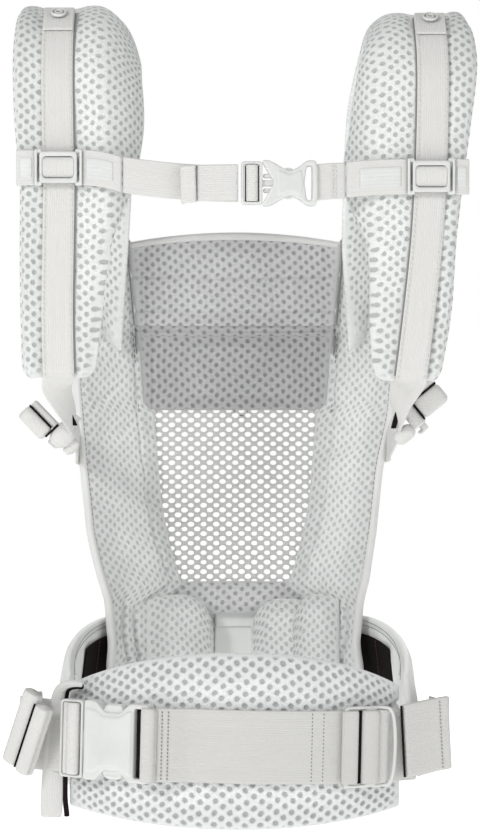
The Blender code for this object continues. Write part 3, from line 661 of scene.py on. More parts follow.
def puff(piece, pinned, cap):
    """Blow a piece up as stuffed cloth. Pinned points stay; none moves further than cap."""
    scene = bpy.context.scene
    rest = coordinates(piece.data)
    group = piece.vertex_groups.new(name="pinned")
    group.add([int(i) for i in pinned], 1.0, "REPLACE")
    cloth = piece.modifiers.new("cloth", "CLOTH")
    settings = cloth.settings
    settings.quality = 4
    settings.mass = CLOTH_MASS
    settings.tension_stiffness = settings.compression_stiffness = CLOTH_STRETCH
    settings.shear_stiffness = CLOTH_SHEAR
    settings.bending_stiffness = CLOTH_BEND
    settings.use_pressure = True
    settings.uniform_pressure_force = CLOTH_PRESSURE
    settings.effector_weights.gravity = 0.0
    settings.vertex_group_mass = "pinned"
    cloth.collision_settings.use_collision = False
    cloth.point_cache.frame_start, cloth.point_cache.frame_end = 1, CLOTH_FRAMES
    for number in range(1, CLOTH_FRAMES + 1):
        scene.frame_set(number)
    depsgraph = bpy.context.evaluated_depsgraph_get()
    shift = coordinates(piece.evaluated_get(depsgraph).data) - rest
    piece.modifiers.remove(cloth)
    piece.vertex_groups.clear()
    scene.frame_set(1)
    far = np.linalg.norm(shift, axis=1, keepdims=True)
    set_coordinates(piece.data, rest + shift * cap * np.tanh(far / cap) / np.maximum(far, 1e-9))
    return piece


def refined(piece, levels):
    """Subdivide a piece for good."""
    change = piece.modifiers.new("smooth", "SUBSURF")
    change.levels = change.render_levels = levels
    depsgraph = bpy.context.evaluated_depsgraph_get()
    mesh = bpy.data.meshes.new_from_object(piece.evaluated_get(depsgraph),
                                           preserve_all_data_layers=True,
                                           depsgraph=depsgraph)
    piece.modifiers.clear()
    old = piece.data
    piece.data = mesh
    bpy.data.meshes.remove(old)
    mesh.name = piece.name
    mesh.shade_smooth()
    return piece


def stuffed(name, points, thick, material, edge, cap):
    """A padded piece: a crowned shell, blown up between the seams round its rim and smoothed."""
    item = thickened(name, points, thick, material, crowned(points, edge))
    puff(item, rim_pins(*points.shape[:2]), cap)
    return refined(item, 2)


def sheet(name, place, across, along, thick, material, edge):
    """A thin piece over place(u, v), whose rim is edge of its full thickness."""
    points = grid(place, spans(-1, 1, across), spans(-1, 1, along))
    return refined(thickened(name, points, thick, material, crowned(points, edge)), 1)


def emboss(piece, height):
    """Move each point along its normal by height(cloth coordinates, place)."""
    mesh = piece.data
    points, cloth = coordinates(mesh), cloth_of(mesh)
    rise = height(cloth, points)
    set_coordinates(mesh, points + normals_of(mesh) * rise[:, None])
    return piece


def smooth_step(value, low, high):
    t = np.clip((value - low) / (high - low), 0.0, 1.0)
    return t * t * (3 - 2 * t)


def dimples(cloth, pitch, depth):
    """Depth of the spacer mesh's dimples, which fade towards the rim."""
    across = (cloth[:, 0] + WARP * np.sin(cloth[:, 1] * 240)) / pitch[0]
    along = (cloth[:, 1] + WARP * np.sin(cloth[:, 0] * 190)) / pitch[1]
    cell = (1 + np.cos(2 * pi * (across + along))) * (1 + np.cos(2 * pi * (across - along)))
    cell *= 0.74 + 0.26 * np.cos(4 * pi * across)
    return -depth * smooth_step(cell, 0.2, 2.7) * smooth_step(cloth[:, 2], 0.05, 0.5)


def groove(distance, width, depth):
    """Depth of a sewn line at that distance from it."""
    return -depth * np.exp(-(distance / width) ** 2)


def ring_faces(rings, sides, base=0):
    """Quads between one ring of points and the next."""
    faces = []
    for ring in range(rings):
        for side in range(sides):
            a, b = base + ring * sides + side, base + ring * sides + (side + 1) % sides
            faces.append([a, b, b + sides, a + sides])
    return faces


def tube(path, radius, sides=8):
    """Points and faces of a closed tube along a path."""
    path = np.asarray(path, float)
    run = np.gradient(path, axis=0)
    run /= np.linalg.norm(run, axis=1, keepdims=True)
    seed = np.array([0.0, 1.0, 0.0]) if abs(run[0][1]) < 0.9 else np.array([1.0, 0.0, 0.0])
    side = np.cross(run, seed)
    side /= np.linalg.norm(side, axis=1, keepdims=True)
    over = np.cross(side, run)
    turn = np.arange(sides) * 2 * pi / sides
    rings = path[:, None] + radius * (np.cos(turn)[None, :, None] * side[:, None]
                                      + np.sin(turn)[None, :, None] * over[:, None])
    points = rings.reshape(-1, 3)
    faces = []
    for row in range(len(path) - 1):
        for column in range(sides):
            a, b = row * sides + column, row * sides + (column + 1) % sides
            faces.append([a, a + sides, b + sides, b])
    faces.append(list(range(sides)))
    faces.append([(len(path) - 1) * sides + column for column in reversed(range(sides))])
    return points, faces


def resampled(path, step):
    """The path's points again at an even step."""
    path = np.asarray(path, float)
    far = np.concatenate([[0.0], np.cumsum(np.linalg.norm(np.diff(path, axis=0), axis=1))])
    count = max(2, int(far[-1] / step) + 1)
    at = np.linspace(0, far[-1], count)
    return np.stack([np.interp(at, far, path[:, axis]) for axis in range(3)], axis=-1)


class Stitches:
    """Sewn thread along several lines, gathered into one piece."""

    def __init__(self):
        self.points, self.faces = [], []

    def line(self, path, outward, pitch=0.0034, long=0.0025, wide=0.00055):
        """Stitches along a path; outward is one vector or one for each path point."""
        path = np.asarray(path, float)
        even = resampled(path, pitch)
        ways = np.broadcast_to(np.asarray(outward, float), path.shape)
        far = np.concatenate([[0.0], np.cumsum(np.linalg.norm(np.diff(path, axis=0), axis=1))])
        at = np.linspace(0, far[-1], len(even))
        up = np.stack([np.interp(at, far, ways[:, axis]) for axis in range(3)], axis=-1)
        run = np.gradient(even, axis=0)
        for place, way, lift in zip(even, run, up):
            self.stitch(place, way / max(np.linalg.norm(way), 1e-9), lift / np.linalg.norm(lift),
                        long, wide)

    def stitch(self, place, run, lift, long, wide):
        side = np.cross(run, lift)
        base = len(self.points)
        for share, size in ((-0.5, 0.35), (-0.3, 0.9), (0.0, 1.0), (0.3, 0.9), (0.5, 0.35)):
            arch = lift * wide * (0.35 + 0.3 * cos(pi * share))
            for corner in range(6):
                angle = corner * pi / 3
                self.points.append(place + run * long * share + arch
                                   + (side * cos(angle) + lift * 0.7 * sin(angle)) * wide * size)
        self.faces += ring_faces(4, 6, base)
        self.faces.append([base + corner for corner in reversed(range(6))])
        self.faces.append([base + 24 + corner for corner in range(6)])

    def piece(self, name, material):
        return new_piece(name, np.array(self.points), self.faces, material)


def on(item, body, slot=None, *nodes):
    """Ride on a body and stand for CAD nodes. The slot argument is not used."""
    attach(item, body)
    if nodes:
        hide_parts(*nodes)
    return item


PIPE_STEP, PIPE_SIDES = 0.0025, 8


def piping(name, path, radius, material, body, slot):
    """A round cord of cloth or a sunken line of thread along a path."""
    points, faces = tube(resampled(path, PIPE_STEP), radius, PIPE_SIDES)
    rings = len(points) // PIPE_SIDES
    far = np.repeat(np.arange(rings) * PIPE_STEP, PIPE_SIDES)
    turn = np.tile(np.arange(PIPE_SIDES) * radius * 2 * pi / PIPE_SIDES, rings)
    cloth = np.stack([turn, far, np.ones(len(points))], axis=-1)
    return on(new_piece(name, points, faces, material, cloth), body, slot)


def ribbon(name, centre, way, width, length, material, thick=WEB_THICK):
    """Webbing whose middle runs along centre, a list of points or centre(share), its width along
    way, one vector or way(share)."""
    middle = centre if callable(centre) else lambda share: along_stations(centre, share)
    ways = way if callable(way) else lambda share: way
    rows = max(6, int(length / 0.003))
    us = np.array([-1.0, -0.94, -0.8, -0.5, 0.0, 0.5, 0.8, 0.94, 1.0])
    crown = np.array([0.72, 1.0, 0.94, 0.96, 1.0, 0.96, 0.94, 1.0, 0.72])

    def place(u, v):
        share = (v + 1) / 2
        return Vector(middle(share)) + Vector(ways(share)).normalized() * (u * width / 2)
    points = grid(place, us, spans(-1, 1, rows))
    item = thickened(name, points, thick, material, np.repeat(crown[None, :], rows + 1, axis=0),
                     np.repeat((1 - np.abs(us) ** 8)[None, :], rows + 1, axis=0))
    return refined(item, 1)


# ---------------------------------------------------------------- moulded pieces' tools


CORNER_STEPS = 4


def rounded(corners, radius):
    """A flat outline with each corner turned into a curve."""
    corners = [np.array(corner, float) for corner in corners]
    outline = []
    for index, corner in enumerate(corners):
        before, after = corners[index - 1], corners[(index + 1) % len(corners)]
        reach = min(radius, 0.45 * np.linalg.norm(before - corner),
                    0.45 * np.linalg.norm(after - corner))
        start = corner + (before - corner) / np.linalg.norm(before - corner) * reach
        end = corner + (after - corner) / np.linalg.norm(after - corner) * reach
        for t in np.linspace(0, 1, CORNER_STEPS + 1):
            outline.append((1 - t) ** 2 * start + 2 * t * (1 - t) * corner + t * t * end)
    return outline


def oblong(x_low, x_high, z_low, z_high, radius):
    return rounded([(x_low, z_low), (x_high, z_low), (x_high, z_high), (x_low, z_high)], radius)


def mirrored(points):
    """Half an outline and its mirror image across Z."""
    return points + [(x, -z) for x, z in reversed(points)]


def handed(points, sign):
    """An outline as it is, or turned over in Z with its direction kept."""
    return [(x, sign * z) for x, z in points][::sign]


def plate(outlines, y_front, y_back, bevel):
    """Points and faces of a moulded plate in X and Z: its edge's outline, then its holes'."""
    curve = bpy.data.curves.new("plate", "CURVE")
    curve.dimensions = "2D"
    curve.fill_mode = "BOTH"
    for outline in outlines:
        spline = curve.splines.new("POLY")
        spline.points.add(len(outline) - 1)
        for point, (x, z) in zip(spline.points, outline):
            point.co = (x, z, 0.0, 1.0)
        spline.use_cyclic_u = True
    curve.extrude = (y_back - y_front) / 2 - bevel
    curve.bevel_depth = bevel
    curve.bevel_resolution = 1
    curve.offset = -bevel
    item = bpy.data.objects.new("plate", curve)
    bpy.context.scene.collection.objects.link(item)
    depsgraph = bpy.context.evaluated_depsgraph_get()
    mesh = bpy.data.meshes.new_from_object(item.evaluated_get(depsgraph))
    bpy.data.objects.remove(item)
    points = coordinates(mesh)
    faces = [list(face.vertices) for face in mesh.polygons]
    bpy.data.meshes.remove(mesh)
    depth = (y_front + y_back) / 2
    return np.stack([points[:, 0], depth - points[:, 2], points[:, 1]], axis=-1), faces


def bar(low, high, bevel=0.0006):
    """Points and faces of a box with rounded edges."""
    shape = bmesh.new()
    bmesh.ops.create_cube(shape, size=1.0)
    for vert in shape.verts:
        for axis in range(3):
            vert.co[axis] = (low[axis] + high[axis]) / 2 + vert.co[axis] * (high[axis] - low[axis])
    bmesh.ops.bevel(shape, geom=shape.edges[:], offset=bevel, segments=2, profile=0.5,
                    affect="EDGES",
                    clamp_overlap=True)
    points = np.array([tuple(vert.co) for vert in shape.verts])
    faces = [[vert.index for vert in face.verts] for face in shape.faces]
    shape.free()
    return points, faces


LATHE_SEGMENTS = 36


def lathe(profile):
    """Points and faces of a closed profile of (radius, depth) turned about Y."""
    points, faces = [], []
    count = len(profile)
    for step in range(LATHE_SEGMENTS):
        angle = 2 * pi * step / LATHE_SEGMENTS
        points += [(r * cos(angle), y, r * sin(angle)) for r, y in profile]
    for step in range(LATHE_SEGMENTS):
        for k in range(count):
            a, b = step * count + k, step * count + (k + 1) % count
            after = (step + 1) % LATHE_SEGMENTS * count
            c, d = after + (k + 1) % count, after + k
            faces.append([a, b, c, d])
    return np.array(points), faces


def fused(name, chunks, matrix, voxel, material="plastic", rounds=3):
    """Overlapping chunks made one moulded body with soft edges."""
    points, faces, base = [], [], 0
    for chunk, chunk_faces in chunks:
        points.append(chunk)
        faces += [[base + i for i in face] for face in chunk_faces]
        base += len(chunk)
    item = new_piece(name, np.concatenate(points), faces, material)
    cleaned(item, 0.00001)
    remesh = item.modifiers.new("fuse", "REMESH")
    remesh.mode = "VOXEL"
    remesh.voxel_size = voxel
    soften = item.modifiers.new("soften", "SMOOTH")
    soften.factor = 0.5
    soften.iterations = rounds
    depsgraph = bpy.context.evaluated_depsgraph_get()
    mesh = bpy.data.meshes.new_from_object(item.evaluated_get(depsgraph), depsgraph=depsgraph)
    item.modifiers.clear()
    item.data = mesh
    mesh.materials.clear()
    mesh.materials.append(MATERIALS[material])
    mesh.transform(matrix)
    mesh.shade_smooth()
    return item


def shade(name, low, high, matrix, voxel, body, material="lining", slot="black_lining",
          bevel=0.0006):
    """A dark block behind an opening that lies in deep shadow."""
    on(fused(name, [bar(low, high, bevel)], matrix, voxel, material, 1), body, slot)


def wrap(name, matrix, low, high, body, axis=2, material="webbing", soft=0.08, start=0.88):
    """Webbing turned round a bar: a flattened roll, its ends open edges, along X or Z."""
    rows, sides = 40, 20
    middle = [(low[k] + high[k]) / 2 for k in range(3)]
    half = [(high[k] - low[k]) / 2 for k in range(3)]
    other = 0 if axis == 2 else 2
    points, cloth = [], []
    for along in np.linspace(-1, 1, rows + 1):
        close = 1.0 - soft * (max(0.0, abs(along) - start) / (1 - start)) ** 2
        for step in range(sides):
            angle = 2 * pi * step / sides
            a, b = cos(angle), sin(angle)
            place = [0.0, 0.0, 0.0]
            place[axis] = middle[axis] + half[axis] * along
            place[other] = middle[other] + half[other] * close * np.sign(a) * abs(a) ** 0.65
            place[1] = middle[1] + half[1] * close * np.sign(b) * abs(b) ** 0.65
            points.append(tuple(matrix @ Vector(place)))
            cloth.append((half[axis] * along, angle * half[other],
                          1.0 - 0.8 * (abs(along) > 0.97)))
    faces = ring_faces(rows, sides)
    faces.append(list(range(sides))[::-1])
    faces.append([rows * sides + step for step in range(sides)])
    return on(cleaned(new_piece(name, points, faces, material, cloth)), body, "webbing")


# ---------------------------------------------------------------- baby panel


def panel_pad(name, low, high, line, material, across, along, edge, cap, shrink, body="root",
              crown_top=0.0, depth=0.0006, seams=(), columns=()):
    """A padded part of the panel between two heights, with sewn lines across and down it."""

    def place(u, v):
        z = between(low, high, v)
        half = blend(line, z) - shrink
        return panel_point(u * half, z + crown_top * (1 - u * u) * (v + 1) / 2)
    points = grid(place, spans(-1, 1, across), spans(-1, 1, along))
    item = thickened(name, points, PANEL_THICK, material, crowned(points, edge))
    pins = set(rim_pins(along + 1, across + 1).tolist())
    heights = points[:, across // 2, 2]
    for seam in seams:
        row = int(np.argmin(np.abs(heights - seam)))
        for face in (0, len(points) * (across + 1)):
            pins.update(range(face + row * (across + 1), face + (row + 1) * (across + 1)))
    puff(item, sorted(pins), cap)
    refined(item, 2)

    def relief(cloth, place):
        rise = dimples(cloth, DOTS["panel"], depth)
        for seam in seams:
            rise += groove(place[:, 2] - seam, 0.0013, 0.0014)
        for column in columns:
            rise += groove(np.abs(place[:, 0] - PANEL_X) - column, 0.0011, 0.0011)
        return rise
    emboss(item, relief)
    on(item, body, "inner_mesh", name)


NET_WIDE, NET_ROW = 0.0093, 0.00347         # a cell's width and half its height
NET_HOLE = (0.00245, 0.00185)               # half width and half height of the hole in a cell
NET_THICK = 0.0012
NET_SEAM = 0.0016                           # how far it runs under the border


def build_window():
    """The open mesh: a knitted net of diamond cells with an oval hole in each."""
    bottom, top = WINDOW_BOTTOM - 0.0022, WINDOW_TOP + 0.0012
    corners = [(cos(k * pi / 4), sin(k * pi / 4)) for k in range(8)]
    points, faces, found = [], [], {}

    def vertex(x, z):
        half = blend(WINDOW_LINE, z) + NET_SEAM
        x = min(max(x, -half), half)
        z = min(max(z, bottom), top)
        key = (round(x * 2e4), round(z * 2e4))
        if key not in found:
            found[key] = len(points)
            points.append((x, z))
        return found[key]
    rows = int((top - bottom) / NET_ROW) + 1
    for row in range(-1, rows + 1):
        z = bottom + row * NET_ROW
        half = blend(WINDOW_LINE, z) + NET_SEAM
        shift = NET_WIDE / 2 if row % 2 else 0.0
        for column in range(-8, 9):
            x = column * NET_WIDE + shift
            if abs(x) > half + NET_WIDE * 0.45:
                continue
            wobble = 1 + 0.08 * sin(row * 2.3 + column * 4.1)
            outer, inner = [], []
            for a, b in corners:
                reach = 1 / (abs(a) + abs(b))
                outer.append(vertex(x + a * reach * NET_WIDE / 2, z + b * reach * NET_ROW))
                inner.append(vertex(x + a * NET_HOLE[0] * wobble, z + b * NET_HOLE[1] * wobble))
            for k in range(8):
                quad = [outer[k], outer[(k + 1) % 8], inner[(k + 1) % 8], inner[k]]
                if len(set(quad)) == 4:
                    faces.append(quad)
                elif len(set(quad)) == 3:
                    faces.append(sorted(set(quad), key=quad.index))
    places = [tuple(panel_point(x, z)) for x, z in points]
    item = cleaned(new_piece("window_net", places, faces, "net"), 0.00002)
    thick = item.modifiers.new("thick", "SOLIDIFY")
    thick.thickness = NET_THICK
    thick.offset = 0.0
    refined(item, 1)
    on(item, "root", "open_mesh", "mesh_window")


def build_panel():
    panel_pad("panel_upper", WINDOW_TOP + GAP, FOLD_Z - 0.0008, SEAM_LINE, "mesh_panel_painted_shade",
              across=36, along=16, edge=0.85, cap=0.0020, shrink=-0.0003, columns=(0.0600,))
    panel_pad("head_support", FOLD_Z + 0.0008, PANEL_TOP + 0.0022, SEAM_LINE, "mesh_head_painted_shade",
              across=36, along=18, edge=0.85, cap=0.0020, shrink=0.0003, body="head_rest",
              crown_top=PANEL_TOP_CROWN, seams=(0.3535, 0.3780), columns=(0.0640,))

    us, vs = spans(-1, 1, 40), spans(-1, 1, 4)

    def binding(u, v):
        wide = 0.0058 * (1 - 0.3 * u * u)
        z = PANEL_TOP + PANEL_TOP_CROWN * (1 - u * u) - 0.0004 + wide * (v + 1) / 2
        return panel_point(u * (blend(SEAM_LINE, z) - 0.001), z, 0.0006)
    points = grid(binding, us, vs)
    crown = np.repeat(np.array([0.9, 1.05, 1.1, 1.0, 0.7])[:, None], 41, axis=1)
    item = refined(thickened("head_binding", points, PANEL_THICK * 0.9, "satin", crown), 1)
    on(item, "head_rest", "satin_binding", "head_binding")

    def fold(u, v):
        z = FOLD_Z + v * 0.0042
        return panel_point(u * (blend(SEAM_LINE, z) - 0.0012), z, lift=0.0030)
    item = sheet("head_fold", fold, 40, 6, 0.0030, "mesh_panel_painted_shade", 0.5)
    emboss(item, lambda cloth, place: groove(place[:, 2] - FOLD_Z, 0.0008, 0.0010))
    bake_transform(item)

    for side, sign in SIDES:
        for part, body, low, high in (("lower", "root", 0.2960, 0.3350),
                                      ("upper", "head_rest", 0.3430, 0.4020)):
            # painted shadow: a thin dark cord along the panel's side seam stands in for the shadow
            # gap there, thicker on the right
            line = [panel_point(sign * (blend(SEAM_LINE, z) - 0.0004), z, 0.0036)
                    for z in np.linspace(low, high, 40)]
            piping(f"head_seam_shadow_{part}_{side}", line, 0.0005 if sign < 0 else 0.0008,
                   "thread_grey", body,
                   "inner_mesh")

    build_window()
    for side, sign in SIDES:
        def border(u, v):
            z = between(WINDOW_BOTTOM, WINDOW_TOP + 0.002, v)
            low = blend(WINDOW_LINE, z) - 0.0006
            high = blend(EDGE_LINE, z) + 0.003
            return panel_point(sign * (low + (high - low) * (1 + sign * u) / 2), z, lift=0.0012)
        item = sheet(f"window_border_{side}", border, 8, 50, 0.0030, "mesh_bolster", 0.5)
        on(item, "root", "inner_mesh")

    band_line = [(0.118, 0.0640), (0.138, 0.0620), (0.150, 0.0480), (0.1542, 0.0440)]
    panel_pad("seat_band", 0.1320, WINDOW_BOTTOM + 0.0014, band_line, "mesh_head_painted_shade",
              across=24, along=8, edge=0.8, cap=0.0018, shrink=-0.003, depth=0.0004)

    for side, sign in SIDES:
        build_bolster(side, sign)
        build_lobes(side, sign)


BOLSTER_EDGE = [(0.088, 0.0590), (0.138, 0.0560), (0.152, 0.0385), (0.160, 0.0412),
                (0.182, 0.0476),
                (0.200, 0.0516), (0.219, 0.0548), (0.2665, 0.0587), (0.2795, 0.0592),
                (0.2860, 0.0672),
                (0.325, 0.0702), (0.3400, 0.0680), (0.400, 0.0738), (0.408, 0.0805),
                (0.430, 0.0825)]
BOLSTER_SIDE = [(0.088, 0.0890), (0.143, 0.0950), (0.160, 0.0995), (0.195, 0.1050),
                (0.2465, 0.1105),
                (0.300, 0.1145), (0.344, 0.1120), (0.362, 0.1040), (0.385, 0.0960),
                (0.430, 0.0890)]
BOLSTER_LOW, BOLSTER_HIGH = 0.0880, 0.4280
BINDING_TOP = 0.352          # where the satin binding ends


def bolster_side(sign, z):
    """Distance of a bolster's outer edge from the middle; the right one is drawn in more."""
    low, high = (0.235, 0.285) if sign > 0 else (0.145, 0.195)
    drawn = smooth_step(z, 0.092, 0.118) * (1 - smooth_step(z, low, high))
    return blend(BOLSTER_SIDE, z) - (0.0050 if sign > 0 else 0.0036) * drawn


def bolster_place(sign):
    def place(u, v):
        z = between(BOLSTER_LOW, BOLSTER_HIGH, v)
        inner = blend(BOLSTER_EDGE, z)
        outer = bolster_side(sign, z)
        share = (1 + sign * u) / 2
        behind = 0.0060 * min(max((z - 0.318) / 0.02, 0.0), 1.0)
        return panel_point(sign * (inner + (outer - inner) * share), z, -behind)
    return place


def build_bolster(side, sign):
    us = spans(-1, 1, 14)
    points = grid(bolster_place(sign), us, spans(-1, 1, 84))
    crown = crowned(points, 0.42)
    inner_half = us * sign < 0
    crown[:, inner_half] = np.maximum(crown[:, inner_half], 0.78)
    item = thickened(f"bolster_{side}", points, 0.0112, "mesh_bolster", crown)
    puff(item, rim_pins(*points.shape[:2]), 0.0020)
    refined(item, 2)

    def relief(cloth, place):
        z, away = place[:, 2], np.abs(place[:, 0] - PANEL_X)
        seam = np.interp(z, *zip(*EDGE_LINE))
        rise = dimples(cloth, DOTS["bolster"], 0.0005)
        rise += groove(away - seam - 0.0006, 0.0012, 0.0016) * smooth_step(z, 0.155, 0.165)
        for height, lean, low, high in ((0.3280, -1.15, 0.080, 0.104),
                                        (0.2870, -0.85, 0.074, 0.106),
                                        (0.2560, -0.70, 0.068, 0.088)):
            line = z - height - lean * (0.098 - away) * -1
            rise += groove(line, 0.0022, 0.0015) * smooth_step(away, low, low + 0.006) \
                * (1 - smooth_step(away, high - 0.006, high))
        for middle, top in ((0.0765, 0.152), (0.0685, 0.146)):
            line = away - middle - 0.0022 * np.sin(z * 60)
            rise += groove(line, 0.0014, 0.0034) * (1 - smooth_step(z, top - 0.02, top))
        pull = z - 0.1560 + (away - 0.0420) * 0.62
        begun, ended = smooth_step(away, 0.044, 0.050), 1 - smooth_step(away, 0.064, 0.076)
        rise += groove(pull, 0.0022, 0.0018) * begun * ended
        soft = (np.sin(z * 95 + away * 60) + np.sin(z * 43 - away * 95)
                + 0.7 * np.sin(z * 160 + away * 210)
                + 0.6 * np.sin(z * 225 - away * 120)) * 0.0006
        return rise + soft * cloth[:, 2]
    emboss(item, relief)
    on(item, "root", "air_mesh", f"bolster_{side}")

    def bound(u, v):
        z = between(BOLSTER_LOW, BINDING_TOP, v)
        return panel_point(sign * (bolster_side(sign, z) - 0.0006 + u * sign * 0.0016), z, 0.0010)
    on(sheet(f"bolster_binding_{side}", bound, 6, 60, 0.0062, "satin", 0.5), "root",
       "satin_binding")
    sewn = Stitches()
    heights = [between(BOLSTER_LOW, BINDING_TOP, v) for v in np.linspace(-0.98, 0.98, 120)]
    line = [panel_point(sign * (bolster_side(sign, z) - 0.0034), z, 0.0042) for z in heights]
    sewn.line(line, (0, -1, 0), 0.0036, 0.0029, 0.0005)
    seam = [panel_point(sign * (blend(EDGE_LINE, z) + 0.0006), z, 0.0040)
            for z in np.linspace(0.160, 0.336, 110)]
    sewn.line(seam, (0, -1, 0), 0.0040, 0.0030, 0.00042)
    on(sewn.piece(f"bolster_stitching_{side}", "thread_grey"), "root", "inner_mesh")
    # painted shadow: dark cords in the bolster's lower folds stand in for the shade in the creases
    for number, (middle, top) in enumerate(((0.0765, 0.146), (0.0685, 0.140))):
        fold = [panel_point(sign * (middle + 0.0022 * sin(z * 60)), z,
                            0.0020 + 0.0006 * sin(z * 90))
                for z in np.linspace(0.100, top, 40)]
        piping(f"bolster_fold_shadow_{side}_{number + 1}", fold, 0.0005, "thread_grey", "root",
               "air_mesh")


# outline of each seat pad: middle, half width, height of its top and forward lift
LOBES = {
    "left": [("", 0.0400, 0.0240, 0.1465, 0.0)],
    "right": [("", 0.0345, 0.0225, 0.1435, 0.0), ("_outer", 0.0585, 0.0165, 0.1475, 0.0028)],
}


def build_lobes(side, sign):
    """Rounded seat pads, each with its seam round the top, their outer sides under the bolster."""
    for suffix, middle, half, top, forward in LOBES[side]:
        def place(u, v):
            inner = u * sign < 0
            rounding = 1 - 0.12 * abs(u) ** 3
            if inner:
                rounding = max(0.0, 1 - abs(u) ** 2.2) ** (1 / 2.2)
            high = 0.1160 + (top - 0.1160) * rounding
            z = between(BOLSTER_LOW, high, v)
            sink = 0.0 if inner else 0.0050 * abs(u) ** 2
            return panel_point(sign * middle + u * half, z, lift=0.0105 + forward - sink)
        points = grid(place, spans(-1, 1, 22), spans(-1, 1, 26))
        item = stuffed(f"seat_pad_{side}{suffix}", points, 0.0086, "mesh_bolster", 0.42, 0.0012)
        emboss(item, lambda cloth, place: dimples(cloth, DOTS["bolster"], 0.00045)
               + 0.0005 * np.sin(place[:, 2] * 150 + place[:, 0] * 210) * cloth[:, 2])
        on(item, "root", "air_mesh")
        if not suffix:
            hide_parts(f"seat_pad_{side}")
        rim = [place(u * sign, 1.0) + Vector((0, -0.0010, 0))
               for u in np.linspace(0.96, -0.97, 50)]
        rim += [place(-0.985 * sign, v) + Vector((0, -0.0010, 0))
                for v in np.linspace(0.8, -0.7, 20)]
        piping(f"seat_piping_{side}{suffix}", rim, 0.0006, "mesh_bolster", "root", "air_mesh")
        if suffix:
            # painted shadow: a dark cord in the crease beside the outer seat pad stands in for its
            # shade
            crease = [place(-1.03 * sign, v) + Vector((0, 0.0012, 0))
                      for v in np.linspace(0.70, -0.2, 30)]
            piping(f"seat_crease_shadow_{side}", crease, 0.0007, "thread_grey", "root", "air_mesh")


# ---------------------------------------------------------------- waist belt


def build_belt():
    def far(u, v):
        angle = u * BELT_SPLIT
        return belt_point(-angle, between(BELT_BOTTOM, belt_top(angle), v), BELT_THICK / 2)
    points = grid(far, spans(-1, 1, 56), spans(-1, 1, 24))
    item = stuffed("waist_belt", points, BELT_THICK, "mesh_bolster", 0.5, 0.0012)
    emboss(item, lambda cloth, place: dimples(cloth, DOTS["bolster"], 0.0004)
           + groove(place[:, 2] - 0.0720, 0.0015, 0.0012))
    on(item, "root", "air_mesh", "waist_belt")

    for side, sign in SIDES:
        build_wing(side, sign)

    def patch(u, v):
        return belt_point(-0.001 + u * 0.150, 0.080 + 0.0505 * (v + 1) / 2, -0.0012)
    points = grid(patch, spans(-1, 1, 16), spans(-1, 1, 20))
    item = refined(thickened("belt_centre", points, 0.0014, "satin_bright"), 1)
    emboss(item, lambda cloth, place: 0.0012 * np.exp(-((place[:, 2] - 0.1270) / 0.0025) ** 2)
           * (place[:, 1] < 0.115) - 0.0006 * np.exp(-((place[:, 2] - 0.1225) / 0.0009) ** 2))
    on(item, "root", "satin_binding", "belt_centre")

    def tape(share):
        return belt_point(-0.001 + (share - 0.5) * 0.300, 0.1275, -0.0030)
    item = ribbon("belt_centre_tape", tape, (0, 0, 1), 0.0105, 0.036, "satin_bright", 0.0016)
    on(item, "root", "satin_binding")


def build_wing(side, sign):
    start, end = BELT_SPLIT + radians(0.5), WING_END
    rise = 0.0 if side == "left" else 0.026

    def wing(u, v, out=BELT_THICK / 2):
        share = (1 + sign * u) / 2
        angle = sign * (start + (end - start) * share)
        low = BELT_BOTTOM + rise * share ** 2
        return belt_point(angle, between(low, belt_top(angle), v), out)
    us, vs = spans(-1, 1, 30), spans(-1, 1, 24)
    points = grid(lambda u, v: wing(-u, v), us, vs)
    item = stuffed(f"waist_wing_{side}", points, BELT_THICK * 0.9, "satin_bright", 0.45, 0.0010)

    def relief(cloth, place):
        ripple = 0.0004 * np.sin(cloth[:, 0] * 260 + cloth[:, 1] * 90) * cloth[:, 2]
        return ripple + groove((1 - cloth[:, 2]) - 0.30, 0.05, 0.0007)
    emboss(item, relief)
    on(item, "root", "satin_binding", f"waist_wing_{side}")

    def lining(u, v):
        share = (1 + sign * u) / 2
        angle = sign * (start + radians(3) + radians(23) * share)
        low = BELT_BOTTOM + rise * share ** 2 + 0.010
        return belt_point(angle, between(low, belt_top(angle) - 0.0125, v), -0.0010)
    points = grid(lambda u, v: lining(-u, v), us, vs)
    item = refined(thickened(f"wing_lining_{side}", points, 0.0012, "lining"), 1)
    far, along = lengths(points)
    on(item, "root", "black_lining", f"wing_lining_{side}")
    hem = Stitches()
    for inset in (0.0030, 0.0062):
        angles = np.linspace(start + 0.03, end - 0.04, 90)
        border = [belt_point(sign * angle, belt_top(angle) - inset, 0.0) for angle in angles]
        ways = [belt_point(sign * angle, 0.1, -0.01) - belt_point(sign * angle, 0.1, 0.0)
                for angle in angles]
        hem.line(border, ways, 0.0030, 0.0022, 0.0004)
    on(hem.piece(f"wing_stitching_{side}", "thread_grey"), "root", "satin_binding")
    red = Stitches()
    line = [lining(sign * 0.10, v) for v in np.linspace(-0.95, 0.95, 40)]
    inward = belt_point(sign * 1.2, 0.05, -1.0) - belt_point(sign * 1.2, 0.05, 0.0)
    lifted = [point + inward.normalized() * 0.0008 for point in line]
    red.line(lifted, inward, 0.0030, 0.0024, 0.0003)
    on(red.piece(f"lining_thread_{side}", "thread_red"), "root", "black_lining")


